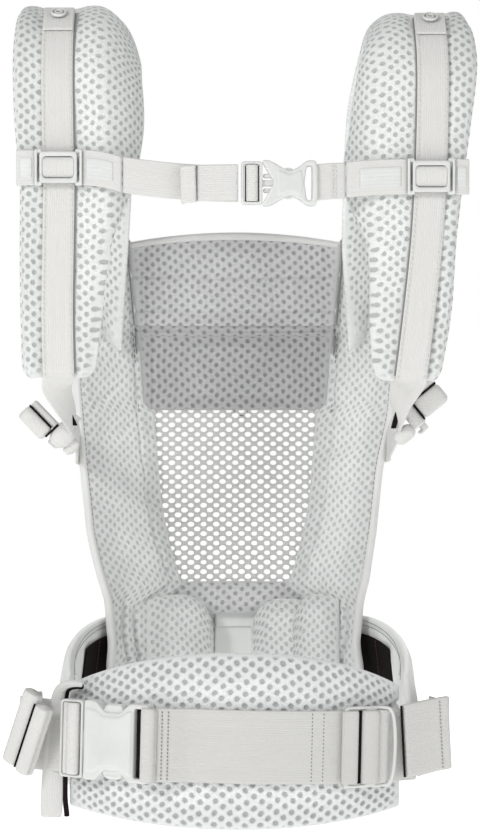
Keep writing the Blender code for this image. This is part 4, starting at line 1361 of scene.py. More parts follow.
# middle line and width (x, z, width) of the band round the left end of the lumbar pad
WING_FLAP = [(-0.1284, 0.0040, 0.0150), (-0.1278, 0.0200, 0.0150), (-0.1272, 0.0352, 0.0142),
             (-0.1262, 0.0560, 0.0122), (-0.1250, 0.0720, 0.0102), (-0.1238, 0.0830, 0.0092),
             (-0.1218, 0.0905, 0.0080), (-0.1184, 0.0942, 0.0060), (-0.1145, 0.0957, 0.0044),
             (-0.1100, 0.0961, 0.0032), (-0.1060, 0.0958, 0.0026)]
WING_FLAP_R = 0.1775      # the flap follows the lumbar pad just outside it


def build_wing_end():
    """The band round the lumbar pad's left end, taken as the left wing's flap, and its lining."""
    def place(u, v, back=0.0):
        share = (v + 1) / 2
        x, z, wide = along_stations(WING_FLAP, share)
        ahead = along_stations(WING_FLAP, share + 0.02)
        behind = along_stations(WING_FLAP, share - 0.02)
        run = Vector((ahead[0] - behind[0], 0, ahead[1] - behind[1])).normalized()
        corner = 1 - 0.12 * max(0.0, 1 - share / 0.05) ** 2
        round_pad = sqrt(max(WING_FLAP_R ** 2 - x * x, 0.0))
        centre = Vector((x, NEAR_AXIS_Y - round_pad + back - 0.0015 * cos(u * 1.4), z))
        return centre + Vector((run.z, 0, -run.x)) * (u * corner * wide / 2)
    on(sheet("wing_end_left", place, 10, 60, 0.0026, "webbing", 0.5), "root", "satin_binding")
    edge = [place(1.18 + 0.35 * max(0.0, (-0.78 - v) / 0.2) ** 2, v, 0.0008)
            for v in np.linspace(-0.98, 1.0, 70)]
    points, faces = tube(resampled(edge, 0.0015), 0.0018)
    on(new_piece("wing_end_edge", points, faces, "lining"), "root", "black_lining")


def build_lumbar():
    middle = (PAD_INNER_R + PAD_OUTER_R) / 2

    def pad(u, v):
        top = PAD_TOP - PAD_TOP_DROP * abs(u) ** 2.2
        low = 0.0006 + PAD_BOTTOM_RISE * u * u
        angle = u * PAD_HALF_ANGLE - 0.008 - radians(2.9) * max(0.0, -u) ** 2
        return near_point(angle, middle, between(low, top, v))
    points = grid(pad, spans(-1, 1, 60), spans(-1, 1, 30))
    item = stuffed("lumbar_pad", points, PAD_OUTER_R - PAD_INNER_R, "mesh_lumbar", 0.42, 0.0022)

    def relief(cloth, place):
        fold = place[:, 2] - 0.0700 - (place[:, 0] - 0.0700) * 0.32
        crease = groove(fold, 0.0016, 0.0022) * smooth_step(place[:, 0], 0.066, 0.076)
        return dimples(cloth, DOTS["lumbar"], 0.0011) + crease
    emboss(item, relief)
    on(item, "lumbar", "air_mesh", "lumbar_pad")


# ---------------------------------------------------------------- waist webbing


def build_waist_webbing():
    start, end = radians(-21.0), radians(43)
    span = end - start

    def centre(share):
        fall = min(1.0, max(0.0, (share - 0.055) / 0.12))
        rise = 0.0085 * (1 - fall * fall * (3 - 2 * fall))
        return waist_strip(start + span * share, WEB_R + rise, 0)
    up = (WAIST_TILT, 0, 1)
    item = ribbon("waist_webbing", centre, up, -WEB_WIDE, 0.196, "webbing_wide")
    on(item, "root", "webbing", "waist_webbing")

    bends = ((43.3, 0.0, 0.0020), (49, 0.001, 0.0042), (54, 0.001, 0.0055))
    right = [waist_strip(radians(turn), WEB_R + out, height) for turn, out, height in bends]
    right += [(0.1385, -0.0120, 0.0580), (0.1370, 0.0080, 0.0555), (0.1335, 0.0280, 0.0550)]
    item = ribbon("waist_webbing_right", right, (0, 0, 1),
                  -WEB_WIDE, 0.09, "webbing_wide")
    on(item, "root", "webbing", "waist_webbing_right")
    flap = [waist_strip(radians(turn), WEB_R + out, height)
            for turn, out, height in ((37.5, 0.0060, 0.0030), (41, 0.0080, 0.0048),
                                      (44.5, 0.0115, 0.0066), (47.5, 0.0170, 0.0084))]
    item = ribbon("waist_webbing_end", flap, (-0.05, 0, 1),
                  -WEB_WIDE * 1.01, 0.034, "webbing_wide", 0.0040)
    across = Vector((-0.05, 0, 1)).normalized()
    start_of_flap = Vector(along_stations(flap, 0.0))
    shadow = [start_of_flap + across * h + Vector((-0.0010, -0.0016, 0))
              for h in np.linspace(-0.0240, 0.0240, 30)]
    piping("waist_end_shadow", shadow, 0.0008, "lining", "root", "webbing")
    on(item, "root", "webbing", "waist_webbing_end")
    place = waist_frame(BUCKLE_ANGLE, BUCKLE_R)
    left = [place @ Vector((x, y, 0))
            for x, y in ((-0.0300, 0.0046), (-0.0440, 0.0046), (-0.0600, 0.0046),
                         (-0.0720, 0.0060))]
    left += [Vector((x, y, WAIST_Z + rise)) for x, y, rise in
             ((-0.1500, -0.0180, 0.002), (-0.1460, 0.0050, 0.002), (-0.1395, 0.0260, 0.001))]
    item = ribbon("waist_webbing_left", left, (0, 0, 1),
                  WEB_WIDE, 0.11, "webbing_wide")
    on(item, "root", "webbing", "waist_webbing_left")

    sewn = Stitches()
    for x_angle in (-16.3, -15.1, 15.7, 18.3):
        share = (radians(x_angle) - start) / span
        line = [centre(share) + Vector(up).normalized() * h
                for h in np.linspace(-0.022, 0.022, 30)]
        proud = 0.0011 if x_angle < 0 else 0.0006
        line = [p + (p - Vector((0, NEAR_AXIS_Y, p.z))).normalized() * proud for p in line]
        away = near_point(radians(x_angle), 1.0, 0) - Vector((0, NEAR_AXIS_Y, 0))
        sewn.line(line, away, 0.0024, 0.0015, 0.00042)
    end = Vector(along_stations(flap, 0.76))
    line = [end + across * h + Vector((0.0014, -0.0019, 0))
            for h in np.linspace(-0.022, 0.022, 30)]
    sewn.line(line, (0.6, -0.8, 0), 0.0024, 0.0015, 0.00040)
    on(sewn.piece("waist_stitching", "thread_grey"), "root", "webbing")


# ---------------------------------------------------------------- shoulder straps


def strap_section(side, share):
    """Front and back points across a strap: outer pad, groove, inner pad, crease, flank."""
    inward = Vector((1 if side == "left" else -1, 0, 0))
    centre, normal, outer, inner, flank = strap_station(side, share)
    corner = 1 - 0.22 * max(0.0, 1 - share / 0.022) ** 2
    outer, inner = outer * corner, inner * corner
    limit = min(outer, inner)
    groove_at = min(WEB_STRAP / 2 + 0.0012, 0.55 * limit)
    shoulder = groove_at + min(0.0030, 0.2 * limit)
    ends = min(share / 0.020, (1 - share) / 0.02, 1.0)
    full = 0.35 + 0.65 * sqrt(max(ends, 0.0))
    front, back = [], []
    late = max(0.0, (share - 0.90) / 0.10) ** 2

    def add(reach, height, turn=0.0, slide=0.0, depth=1.0):
        lean = normal * cos(turn) + inward * sin(turn)
        over, down = reach + slide * cos(FLANK_TURN), slide * sin(FLANK_TURN)
        base = centre + inward * over - normal * down
        base.z -= late * (0.016 * (reach + slide + outer) / (outer + inner + flank) + 0.004)
        front.append(tuple(base + lean * (STRAP_PUFF * height * full)))
        back.append(tuple(base - lean * (0.0066 * depth * full)))
    for t, height, depth in ((0.0, 0.10, 0.35), (0.10, 0.62, 0.8), (0.28, 0.92, 1.0),
                             (0.52, 1.0, 1.0),
                             (0.78, 0.98, 1.0), (1.0, 0.88, 1.0)):
        add(-outer + t * (outer - shoulder), height, depth=depth)
    for t, height in ((-1, 0.62), (0, 0.60), (1, 0.62)):
        add(t * groove_at, height)
    for t, height in ((0.0, 0.88), (0.25, 1.0), (0.5, 1.0), (0.78, 0.92)):
        add(shoulder + t * (inner - shoulder), height)
    add(inner, 0.62, FLANK_TURN / 2)
    for t, height, depth in ((0.2, 0.80, 1.0), (0.45, 0.92, 1.0), (0.7, 0.80, 1.0),
                             (0.9, 0.45, 0.75),
                             (1.0, 0.05, 0.35)):
        add(inner, height, FLANK_TURN, (flank + 0.0025) * t, depth)
    return front, back


def build_straps():
    rows = 136
    for side, sign in SIDES:
        sections = [strap_section(side, share) for share in np.linspace(0, 1, rows + 1)]
        front = np.array([f for f, b in sections])
        back = np.array([b for f, b in sections])
        if sign > 0:
            front, back = front[:, ::-1], back[:, ::-1]
        columns = front.shape[1]
        item = shell(f"shoulder_strap_{side}", front, back, "mesh_strap")
        index = np.arange((rows + 1) * columns).reshape(rows + 1, columns)
        held = [6, 7, 8, 13] if sign < 0 else [columns - 1 - k for k in (6, 7, 8, 13)]
        pins = np.concatenate([rim_pins(rows + 1, columns), index[:, held].ravel()])
        puff(item, np.unique(pins), 0.0013)
        refined(item, 2)

        def relief(cloth, place):
            u, v = cloth[:, 0], cloth[:, 1]
            soft = np.sin(v * 71 + u * 38) + np.sin(v * 37 - u * 85)
            return dimples(cloth, DOTS["strap"], 0.00045) + 0.0004 * soft * cloth[:, 2]
        emboss(item, relief)
        on(item, "root", "air_mesh", f"shoulder_strap_{side}")

        def webbing(share, side=side):
            centre, normal, *_ = strap_station(side, 0.004 + 0.535 * share)
            return centre + normal * 0.0052
        web = ribbon(f"strap_webbing_{side}", webbing, (1, 0, 0), WEB_STRAP, 0.33, "webbing")
        on(web, "root", "webbing", f"strap_webbing_{side}")

        def patch(share, side=side):
            centre, normal, *_ = strap_station(side, 0.472 + 0.062 * share)
            return centre + normal * 0.0077
        top = ribbon(f"strap_top_patch_{side}", patch, (1, 0, 0), WEB_STRAP - 0.0008, 0.042,
                     "webbing", 0.0016)
        on(top, "root", "webbing", f"strap_top_patch_{side}")

        sewn = Stitches()
        for offset in (-1, 1):
            line, ups = [], []
            for share in np.linspace(0.010, 0.535, 160):
                centre, normal, *_ = strap_station(side, share)
                line.append(centre + normal * 0.0063
                            + Vector((offset * (WEB_STRAP / 2 - 0.0016), 0, 0)))
                ups.append(normal)
            sewn.line(line, ups, 0.0036, 0.0026, 0.00045)
        on(sewn.piece(f"strap_stitching_{side}", "thread_pale"), "root", "webbing")

        # painted shadow: a dark cord beside the webbing's inner edge stands in for the shadow gap
        # there
        gap = []
        for share in np.linspace(0.012, 0.530, 120):
            centre, normal, *_ = strap_station(side, share)
            gap.append(centre + normal * 0.0046 + Vector((-sign * (WEB_STRAP / 2 + 0.0005), 0, 0)))
        piping(f"strap_seam_shadow_{side}", gap, 0.0006, "thread_grey", "root", "webbing")

        edge_front = front[:, 0] if sign < 0 else front[:, -1]
        edge_back = back[:, 0] if sign < 0 else back[:, -1]
        piping(f"strap_piping_{side}", (edge_front + edge_back) / 2, 0.0009, "mesh_strap", "root",
               "air_mesh")


# ---------------------------------------------------------------- chest strap


def build_chest():
    for side, sign in SIDES:
        body = f"chest_{side}"
        drop = SLIDER_Z[side] - BUCKLE_Z
        outer = CHEST_SLOT[side] - sign * 0.0156
        inner = sign * (0.0780 if side == "left" else 0.0700)

        def band(share):
            x = outer + (inner - outer) * (share if sign < 0 else 1 - share)
            away = (abs(outer) - abs(x)) / (abs(outer) - abs(inner))
            return Vector((x, CHEST_Y + 0.0010, SLIDER_Z[side] - drop * 0.45 * away ** 2))
        item = ribbon(f"chest_band_{side}", band, (0, 0, -1), BAND_WIDE, 0.03, "webbing", 0.0022)
        on(item, body, "elastic_band", f"chest_band_{side}")
        stub_in = CHEST_SLOT[side] + sign * 0.0156
        stub_out = sign * (0.1480 if side == "left" else 0.1515)

        def stub(share):
            x = stub_in + (stub_out - stub_in) * (1 - share if sign < 0 else share)
            bend = 0.0020 * max(0.0, (abs(x) - abs(stub_in)) / (abs(stub_out) - abs(stub_in))) ** 2
            return Vector((x, CHEST_Y + 0.0010 + bend, SLIDER_Z[side]))
        item = ribbon(f"chest_band_end_{side}", stub, (0, 0, -1), BAND_WIDE, 0.015, "webbing",
                      0.0022)
        on(item, body, "elastic_band", f"chest_band_end_{side}")
        front = Vector((0, -0.0013, 0))
        for name, line, low, high, long in (("inset", band, 0.10, 0.78, 0.022),
                                            ("inset_end", stub, 0.15, 0.80, 0.01)):
            if sign > 0 and name == "inset" or sign < 0 and name == "inset_end":
                low, high = 1 - high, 1 - low
            patch = ribbon(f"chest_{name}_{side}",
                           lambda share: line(low + (high - low) * share) + front,
                           (0, 0, -1), 0.0128, long, "elastic", 0.0010)
            on(patch, body, "elastic_band")

    def strip(name, body, start, end, z_start, z_end, y_start, y_end, thick=WEB_THICK):
        def place(share):
            return Vector((start + (end - start) * share, y_start + (y_end - y_start) * share,
                           z_start + (z_end - z_start) * (1 - (1 - share) ** 2)))
        item = ribbon(name, place, (0, 0, -1), WEB_CHEST, abs(end - start), "webbing", thick)
        return on(item, body, "webbing", name)
    strip("chest_webbing_left", "chest_left", -0.0775, -0.0010, 0.4360, BUCKLE_Z, CHEST_Y + 0.0022,
          CHEST_Y + 0.0036)
    strip("chest_tail", "chest_plug", -0.0360, -0.0010, 0.4296, BUCKLE_Z + 0.0002,
          CHEST_Y - 0.0040,
          CHEST_Y - 0.0055, 0.0034)
    fold = [(-0.0288, CHEST_Y - 0.0074, 0.4294), (-0.0330, CHEST_Y - 0.0072, 0.4290),
            (-0.0372, CHEST_Y - 0.0062, 0.4286), (-0.0386, CHEST_Y - 0.0042, 0.4284),
            (-0.0372, CHEST_Y - 0.0026, 0.4286)]
    item = ribbon("chest_tail_fold", fold, (0.03, 0, -1),
                  WEB_CHEST * 1.03, 0.014, "webbing", 0.0018)
    on(item, "chest_plug", "webbing")
    line = [Vector((-0.0284, CHEST_Y - 0.0066, 0.4294 + h))
            for h in np.linspace(-0.0118, 0.0118, 20)]
    piping("chest_fold_shadow", line, 0.0004, "thread_grey", "chest_plug", "webbing")
    sewn = Stitches()
    for x in (0.0610, 0.0628):
        line = [(x, CHEST_Y - 0.0012, 0.4312 + h) for h in np.linspace(-0.010, 0.010, 20)]
        sewn.line(line, (0, -1, 0), 0.0026, 0.0018, 0.0004)
    on(sewn.piece("chest_stitching", "thread_pale"), "chest_right", "webbing")
    strip("chest_webbing_right", "chest_right", 0.0468, 0.0695, BUCKLE_Z, 0.4318, CHEST_Y - 0.0012,
          CHEST_Y + 0.0010)


# ---------------------------------------------------------------- adjusters under the arms


# each adjuster under an arm: its eye, and the height at which its anchor meets the panel
ARM_LOCK_EYE = {"left": (-0.1210, -0.0060, 0.2660), "right": (0.1185, -0.0060, 0.2760)}
ANCHOR_Z = {"left": 0.2520, "right": 0.2540}
# webbing from the strap's end to the adjuster, and its turn in degrees at each point
PFA_PATH = {
    "left": [(-0.1222, -0.0780, 0.2968), (-0.1204, -0.0640, 0.2915), (-0.1178, -0.0490, 0.2834),
             (-0.1140, -0.0300, 0.2720), (-0.1144, -0.0200, 0.2668)],
    "right": [(0.1140, -0.0790, 0.2990), (0.1103, -0.0650, 0.2935), (0.1080, -0.0490, 0.2861),
              (0.1066, -0.0300, 0.2750), (0.1090, -0.0170, 0.2690)],
}
PFA_TURN = {"left": [(0,), (0,), (12,), (47,), (71,), (86,), (88,)],
            "right": [(0,), (0,), (8,), (42,), (58,), (74,), (86,)]}
# the path of a narrow black strip, painted shadow for the deep shade between the webbing and the
# rolled tail
PFA_SHADOW_STRIP = {"left": [(-0.1192, -0.0400, 0.2850), (-0.1168, -0.0380, 0.2790),
                    (-0.1128, -0.0340, 0.2700)],
           "right": [(0.1088, -0.0390, 0.2820), (0.1068, -0.0370, 0.2760),
                     (0.1050, -0.0330, 0.2680)]}


def build_adjusters():
    for side, sign in SIDES:
        path = []
        for share in (0.034, 0.008):
            centre, normal, *_ = strap_station(side, share)
            path.append(centre + normal * 0.0046)
        path += [Vector(point) for point in PFA_PATH[side]]

        def way(share, side=side, sign=sign):
            turn = radians(along_stations(PFA_TURN[side], share)[0])
            return (cos(turn), 0, -sign * sin(turn))
        item = ribbon(f"pfa_webbing_{side}", path, way, WEB_STRAP,
                      0.085, "webbing")
        on(item, "root", "webbing", f"pfa_webbing_{side}")

        back_way = (cos(radians(86)), 0, -sign * sin(radians(86)))
        height = ANCHOR_Z[side]
        panel = panel_point(sign * (bolster_side(sign, height) - 0.0130), height, -0.0020)
        edge = panel_point(sign * (bolster_side(sign, height) + 0.0015), height, -0.0030)
        first = Vector((path[-1].x, 0.0015, path[-1].z))
        end = [first, first.lerp(edge, 0.35), first.lerp(edge, 0.72), edge, panel]
        item = ribbon(f"pfa_anchor_{side}", end, back_way, WEB_STRAP,
                      0.09, "webbing")
        on(item, "root", "webbing", f"pfa_anchor_{side}")
        # painted shadow: a narrow black strip in the deep shade between the webbing and the rolled
        # tail
        item = ribbon(f"pfa_shadow_strip_{side}", PFA_SHADOW_STRIP[side], (1, 0, 0), 0.0036, 0.02, "lining", 0.0012)
        on(item, "root", "black_lining")


# ---------------------------------------------------------------- moulded pieces


def build_waist_buckle():
    place = waist_frame(BUCKLE_ANGLE, BUCKLE_R)
    half = 0.0268
    edge = [(-0.0155, -half), (-0.0100, -half), (-0.0064, -half + 0.0004), (0.0010, -0.0192),
            (0.0128, -0.0192), (0.0205, -half + 0.0004), (0.0350, -half + 0.0006)]
    outline = rounded(mirrored(edge), 0.0026)
    slot_hole = oblong(0.0242, 0.0330, -0.0230, 0.0230, 0.0012)
    raised = [(-0.0140, -0.0215), (-0.0060, -0.0205), (0.0005, -0.0165), (0.0130, -0.0165),
              (0.0190, -0.0205), (0.0226, -0.0215)]
    panel = rounded(mirrored(raised), 0.0024)
    chunks = [plate([outline, slot_hole], -0.0052, 0.0045, 0.0012),
              plate([panel], -0.0064, 0.0030, 0.0010),
              bar((0.0010, -0.0040, 0.0172), (0.0128, 0.0040, 0.0197)),
              bar((0.0010, -0.0040, -0.0197), (0.0128, 0.0040, -0.0172))]
    item = fused("waist_buckle_female", chunks, place, 0.00060, rounds=2)
    on(item, "root", "buckle_plastic", "waist_buckle_female")
    shade("waist_slot_shade", (0.0238, -0.0012, -0.0234), (0.0334, 0.0004, 0.0234), place, 0.0008,
          "root")
    wrap("waist_end_wrap", place, (0.0304, -0.0084, -0.0243), (0.0410, -0.0008, 0.0243), "root",
         material="webbing_wide")

    frame_edge = oblong(-0.0345, -0.0162, -0.0262, 0.0262, 0.0034)
    window = oblong(-0.0328, -0.0182, -0.0243, 0.0243, 0.0012)
    chunks = [plate([frame_edge, window], -0.0050, 0.0020, 0.0008),
              bar((-0.0300, -0.0020, -0.0255), (-0.0220, 0.0010, 0.0255)),
              plate([oblong(-0.0190, 0.0060, -0.0060, 0.0060, 0.0018)], -0.0028, 0.0022, 0.0010)]
    item = fused("waist_buckle_male", chunks, place, 0.00055, rounds=2)
    on(item, "waist_plug", "buckle_plastic", "waist_buckle_male")
    wrap("waist_bar_wrap", place, (-0.0286, -0.0074, -0.0240), (-0.0194, 0.0026, 0.0240),
         "waist_plug")
    wrap("waist_bar_layer", place, (-0.0326, -0.0048, -0.0240), (-0.0282, 0.0020, 0.0240),
         "waist_plug")
    shade("waist_ladder_shade", (-0.0330, 0.0002, -0.0244), (-0.0180, 0.0014, 0.0244), place,
          0.0008,
          "waist_plug")

    for side, sign, body in (("upper", 1, "waist_prong_up"), ("lower", -1, "waist_prong_low")):
        tab = [(-0.0045, 0.0150), (0.0180, 0.0150), (0.0125, 0.0252), (0.0010, 0.0252)]
        arm = [(-0.0150, 0.0085), (0.0125, 0.0090), (0.0125, 0.0160), (-0.0150, 0.0130)]
        chunks = [plate([rounded(handed(tab, sign), 0.0024)], -0.0032, 0.0030, 0.0011),
                  plate([rounded(handed(arm, sign), 0.0014)], -0.0026, 0.0026, 0.0009)]
        chunks.append(tube([(0.0025, -0.0034, sign * 0.0236), (0.0110, -0.0034, sign * 0.0236)],
                           0.0005))
        item = fused(f"waist_prong_{side}", chunks, place, 0.0005)
        on(item, body, "buckle_plastic", f"waist_prong_{side}")

    tail = waist_frame(radians(-40.0), WEB_R + 0.0170)
    lean = (tail @ Matrix.Translation((-0.0232, -0.0030, 0.0010))
            @ Matrix.Rotation(radians(22), 4, "Y"))
    roll = wrap("waist_tail_roll", lean, (0.0020, -0.0064, -0.0246), (0.0134, 0.0046, 0.0240),
                "waist_plug")
    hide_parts("waist_tail_roll")
    wrap("waist_tail_back", lean, (-0.0130, -0.0050, -0.0240), (0.0012, 0.0044, 0.0286),
         "waist_plug")
    # painted shadow: a black cord in the tail's fold stands in for the shade there
    fold = [lean @ Vector((0.0016, -0.0046, z)) for z in np.linspace(-0.0236, 0.0236, 30)]
    piping("waist_tail_fold_shadow", fold, 0.0007, "lining", "waist_plug", "webbing")


def build_adjuster():
    place = waist_frame(ADJUSTER_ANGLE)
    high = WEB_WIDE / 2
    edge = oblong(-0.0195, 0.0150, -0.0272, 0.0272, 0.0040)
    window = oblong(-0.0165, 0.0140, -high - 0.0006, high + 0.0006, 0.0016)
    chunks = [plate([edge, window], -0.0036, -0.0012, 0.0008)]
    bow = [(0.0100, -0.0028, -0.0260), (0.0150, -0.0044, -0.0248), (0.0172, -0.0060, -0.0170),
           (0.0180, -0.0066, 0.0), (0.0172, -0.0060, 0.0170), (0.0150, -0.0044, 0.0248),
           (0.0100, -0.0028, 0.0260)]
    smooth = [along_stations(bow, share) for share in np.linspace(0, 1, 60)]
    chunks.append(tube(smooth, 0.0012, 12))
    chunks.append(bar((-0.0030, -0.0036, -0.0260), (0.0050, -0.0016, 0.0260)))
    item = fused("waist_adjuster", chunks, place, 0.00055, rounds=2)
    on(item, "adjuster", "buckle_plastic", "waist_adjuster")
    wrap("adjuster_wrap", place, (-0.0065, -0.0066, -high), (0.0065, -0.0014, high), "adjuster",
         material="webbing_wide")
    wrap("adjuster_layer", place, (0.0058, -0.0046, -high), (0.0142, -0.0014, high), "adjuster",
         material="webbing_wide")
    wrap("adjuster_cover", place, (-0.0215, -0.0052, -high), (-0.0092, -0.0016, high), "adjuster",
         material="webbing_wide")
    shade("adjuster_shade", (-0.0100, -0.0026, -high), (-0.0058, -0.0013, high), place, 0.0005,
          "adjuster", bevel=0.0004)


def build_sliders():
    for side, sign in SIDES:
        place = Matrix.Translation((CHEST_SLOT[side], CHEST_Y, SLIDER_Z[side]))
        edge = oblong(-0.0124, 0.0124, -0.0104, 0.0104, 0.0026)
        window = oblong(-0.0104, 0.0104, -0.0072, 0.0072, 0.0028)
        chunks = [plate([edge, window], -0.0042, -0.0004, 0.0008)]
        for x in (-0.0148, 0.0148):
            chunks.append(bar((x - 0.0009, -0.0030, -0.0118), (x + 0.0009, 0.0030, 0.0118),
                              0.0005))
            for z in (-0.0108, 0.0108):
                low, high = sorted((x, x * 0.75))
                chunks.append(bar((low, -0.0024, z - 0.0012), (high, 0.0010, z + 0.0012), 0.0005))
        item = fused(f"chest_slider_{side}", chunks, place, 0.00045, rounds=2)
        on(item, f"chest_{side}", "buckle_plastic", f"chest_slider_{side}")
        wrap(f"slider_wrap_{side}", place, (-0.0104, -0.0034, -0.0068), (0.0104, 0.0004, 0.0068),
             f"chest_{side}", 0)
        shade(f"slider_shade_{side}", (-0.0112, -0.0006, -0.0078), (0.0112, 0.0004, 0.0078), place,
              0.0004, f"chest_{side}", "thread_grey", "webbing", 0.0003)


def build_chest_buckle():
    place = Matrix.Translation((0.0, CHEST_Y, BUCKLE_Z))
    top = [(0.0140, 0.0148), (0.0185, 0.0154), (0.0225, 0.0136), (0.0270, 0.0108),
           (0.0330, 0.0078), (0.0390, 0.0108),
           (0.0440, 0.0150), (0.0500, 0.0152), (0.0512, 0.0100)]
    outline = rounded([(0.0225, 0.0)] + mirrored(top), 0.0024)
    slot_hole = rounded([(0.0425, 0.0), (0.0440, 0.0112), (0.0474, 0.0112), (0.0480, 0.0),
                         (0.0474, -0.0112),
                         (0.0440, -0.0112)], 0.0016)
    chunks = [plate([outline[::-1], slot_hole], -0.0050, 0.0040, 0.0013)]
    raised = [(0.0245, 0.0), (0.0250, 0.0085), (0.0330, 0.0052), (0.0405, 0.0085), (0.0415, 0.0)]
    panel = rounded(raised + [(x, -z) for x, z in reversed(raised[1:-1])], 0.0016)
    chunks.append(plate([panel[::-1]], -0.0058, 0.0010, 0.0007))
    item = fused("chest_buckle_female", chunks, place, 0.00042, rounds=2)
    on(item, "chest_right", "buckle_plastic", "chest_buckle_female")

    edge = oblong(0.0006, 0.0148, -0.0143, 0.0143, 0.0024)
    window = oblong(0.0026, 0.0130, -0.0122, 0.0122, 0.0010)
    chunks = [plate([edge, window], -0.0052, 0.0012, 0.0011),
              bar((0.0050, -0.0024, -0.0135), (0.0105, 0.0004, 0.0135)),
              plate([oblong(0.0140, 0.0262, -0.0020, 0.0020, 0.0010)], -0.0022, 0.0019, 0.0008)]
    item = fused("chest_buckle_male", chunks, place, 0.00045)
    on(item, "chest_plug", "buckle_plastic", "chest_buckle_male")
    wrap("chest_bar_wrap", place, (0.0040, -0.0062, -0.0120), (0.0118, 0.0006, 0.0120),
         "chest_plug")
    shade("chest_ladder_shade", (0.0030, 0.0002, -0.0120), (0.0128, 0.0012, 0.0120), place, 0.0004,
          "chest_plug", "thread_grey", "webbing", 0.0003)
    for side, sign, body in (("upper", 1, "chest_prong_up"), ("lower", -1, "chest_prong_low")):
        arm = [(0.0152, 0.0034), (0.0300, 0.0034), (0.0352, 0.0064), (0.0345, 0.0100),
               (0.0300, 0.0104),
               (0.0262, 0.0070), (0.0152, 0.0062)]
        item = fused(f"chest_prong_{side}",
                     [plate([rounded(handed(arm, sign), 0.0012)], -0.0021, 0.0021, 0.0007)],
                     place, 0.00035)
        on(item, body, "buckle_plastic", f"chest_prong_{side}")


def build_snaps():
    """Ring snaps: a flat flange in darker plastic, as painted shade between the rings, a raised
    ring and a small ring in the middle.
    """
    for side, sign in SIDES:
        centre, normal, *_ = strap_station(side, 0.507)
        low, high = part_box(f"strap_snap_{side}")
        turn = normal.to_track_quat("-Y", "Z").to_matrix().to_4x4()
        place = Matrix.Translation((low + high) / 2) @ turn
        flange = lathe([(0.0001, 0.0011), (0.0052, 0.0011), (0.0054, 0.0004), (0.0050, 0.0),
                        (0.0001, 0.0)])
        turn_round = np.linspace(0, 2 * pi, 13)[:-1]
        rings = [lathe([(far + thick * cos(a), -0.0002 + 1.5 * thick * sin(a))
                        for a in turn_round])
                 for far, thick in ((0.0046, 0.0007), (0.0023, 0.0007))]
        base = fused(f"strap_snap_base_{side}", [flange], place, 0.0003, "plastic_shade", 1)
        on(base, "root", "buckle_plastic")
        item = fused(f"strap_snap_{side}", rings, place, 0.00022, rounds=1)
        on(item, "root", "buckle_plastic", f"strap_snap_{side}")


# the rolled webbing tails: each frame's middle and lean in degrees, then each roll's low and high
# corner, axis, and how much and from where its ends draw in
TAIL_FRAME = {"left": ((-0.1364, -0.0270, 0.2770), 136.0),
              "right": ((0.1300, -0.0270, 0.2869), 51.0)}
TAIL_ROLLS = {
    "left": [((0.0004, -0.0078, -0.0108), (0.0122, 0.0064, 0.0122), 2, 0.35, 0.80),
             ((-0.0050, -0.0054, -0.0100), (0.0004, 0.0044, 0.0138), 2, 0.15, 0.88),
             ((-0.0108, -0.0074, 0.0118), (0.0078, 0.0070, 0.0280), 0, 0.55, 0.15),
             ((-0.0060, -0.0020, 0.0255), (0.0062, 0.0060, 0.0338), 2, 0.60, 0.30)],
    "right": [((-0.0074, -0.0076, -0.0102), (0.0078, 0.0064, 0.0116), 2, 0.35, 0.70),
              ((-0.0118, -0.0052, -0.0096), (-0.0070, 0.0044, 0.0112), 2, 0.15, 0.88),
              ((-0.0058, -0.0060, -0.0204), (0.0092, 0.0060, -0.0100), 0, 0.20, 0.80),
              ((0.0018, -0.0040, -0.0352), (0.0124, 0.0046, -0.0200), 2, 0.50, 0.40)],
}
# the ends of the black cords in each tail's folds, which are painted shadow for the shade in the
# folds
TAIL_FOLD_SHADOWS = {
    "left": [((0.0006, -0.0060, -0.0104), (0.0006, -0.0060, 0.0112)),
             ((-0.0044, -0.0066, 0.0128), (0.0078, -0.0062, 0.0128))],
    "right": [((-0.0074, -0.0056, -0.0098), (-0.0074, -0.0056, 0.0108)),
              ((-0.0064, -0.0062, -0.0104), (0.0074, -0.0062, -0.0104))],
}


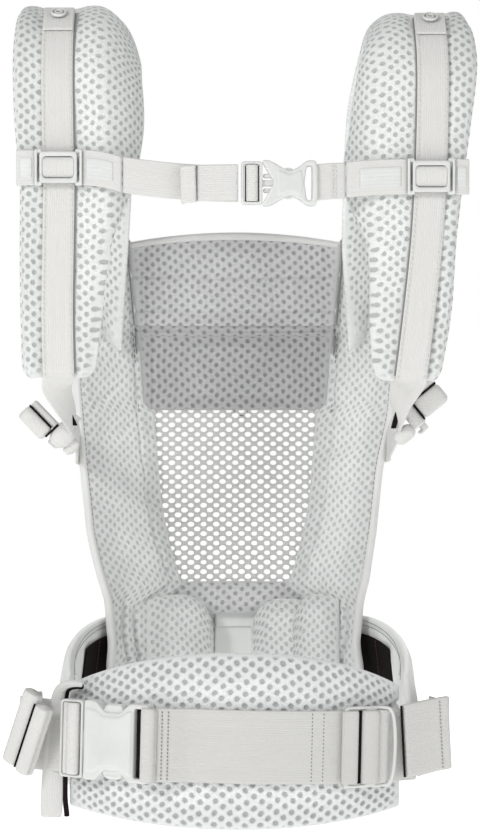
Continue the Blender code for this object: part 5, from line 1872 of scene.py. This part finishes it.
def build_arm_locks():
    for side, sign in SIDES:
        eye = Vector(ARM_LOCK_EYE[side])
        place = Matrix.Translation(eye) @ Matrix.Rotation(radians(50) * sign, 4, "Y")
        flat = place @ Matrix.Rotation(radians(-90), 4, "X")
        edge = oblong(-0.0135, 0.0135, -0.0120, 0.0120, 0.0026)
        holes = [oblong(-0.0110, 0.0110, 0.0040, 0.0090, 0.0012),
                 oblong(-0.0110, 0.0110, -0.0085, -0.0035, 0.0012)]
        chunks = [plate([edge] + holes, -0.0046, -0.0004, 0.0010),
                  bar((-0.0135, -0.0030, -0.0110), (-0.0114, 0.0028, 0.0110), 0.0006),
                  bar((0.0114, -0.0030, -0.0110), (0.0135, 0.0028, 0.0110), 0.0006)]
        item = fused(f"pfa_buckle_{side}", chunks, flat, 0.00048)
        body = f"arm_lock_{side}"
        on(item, body, "buckle_plastic", f"pfa_buckle_{side}")
        middle, angle = TAIL_FRAME[side]
        lean = Matrix.Translation(middle) @ Matrix.Rotation(radians(angle), 4, "Y")
        for number, (low, high, axis, soft, start) in enumerate(TAIL_ROLLS[side]):
            roll = wrap(f"pfa_tail_{side}_{number + 1}", lean, low, high, body, axis, soft=soft,
                        start=start)
            if number == 0:
                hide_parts(f"pfa_tail_{side}")
        # painted shadow: black cords in the folds stand in for their shade
        for number, (start, end) in enumerate(TAIL_FOLD_SHADOWS[side]):
            line = [lean @ Vector(start).lerp(Vector(end), share)
                    for share in np.linspace(0, 1, 12)]
            piping(f"pfa_fold_shadow_{side}_{number + 1}", line, 0.0007, "lining", body, "webbing")


def dress_nodes():
    """Any CAD node that still shows takes the moulded or the woven finish."""
    for name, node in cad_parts.items():
        if not node.hide_render:
            plain = "plastic" if "buckle" in name or "prong" in name else "webbing"
            node.data.materials.clear()
            node.data.materials.append(MATERIALS[plain])


build_camera()
build_light()
build_floor()
build_panel()
build_belt()
build_wing_end()
build_lumbar()
build_waist_webbing()
build_straps()
build_chest()
build_adjusters()
build_waist_buckle()
build_adjuster()
build_sliders()
build_chest_buckle()
build_snaps()
build_arm_locks()
dress_nodes()
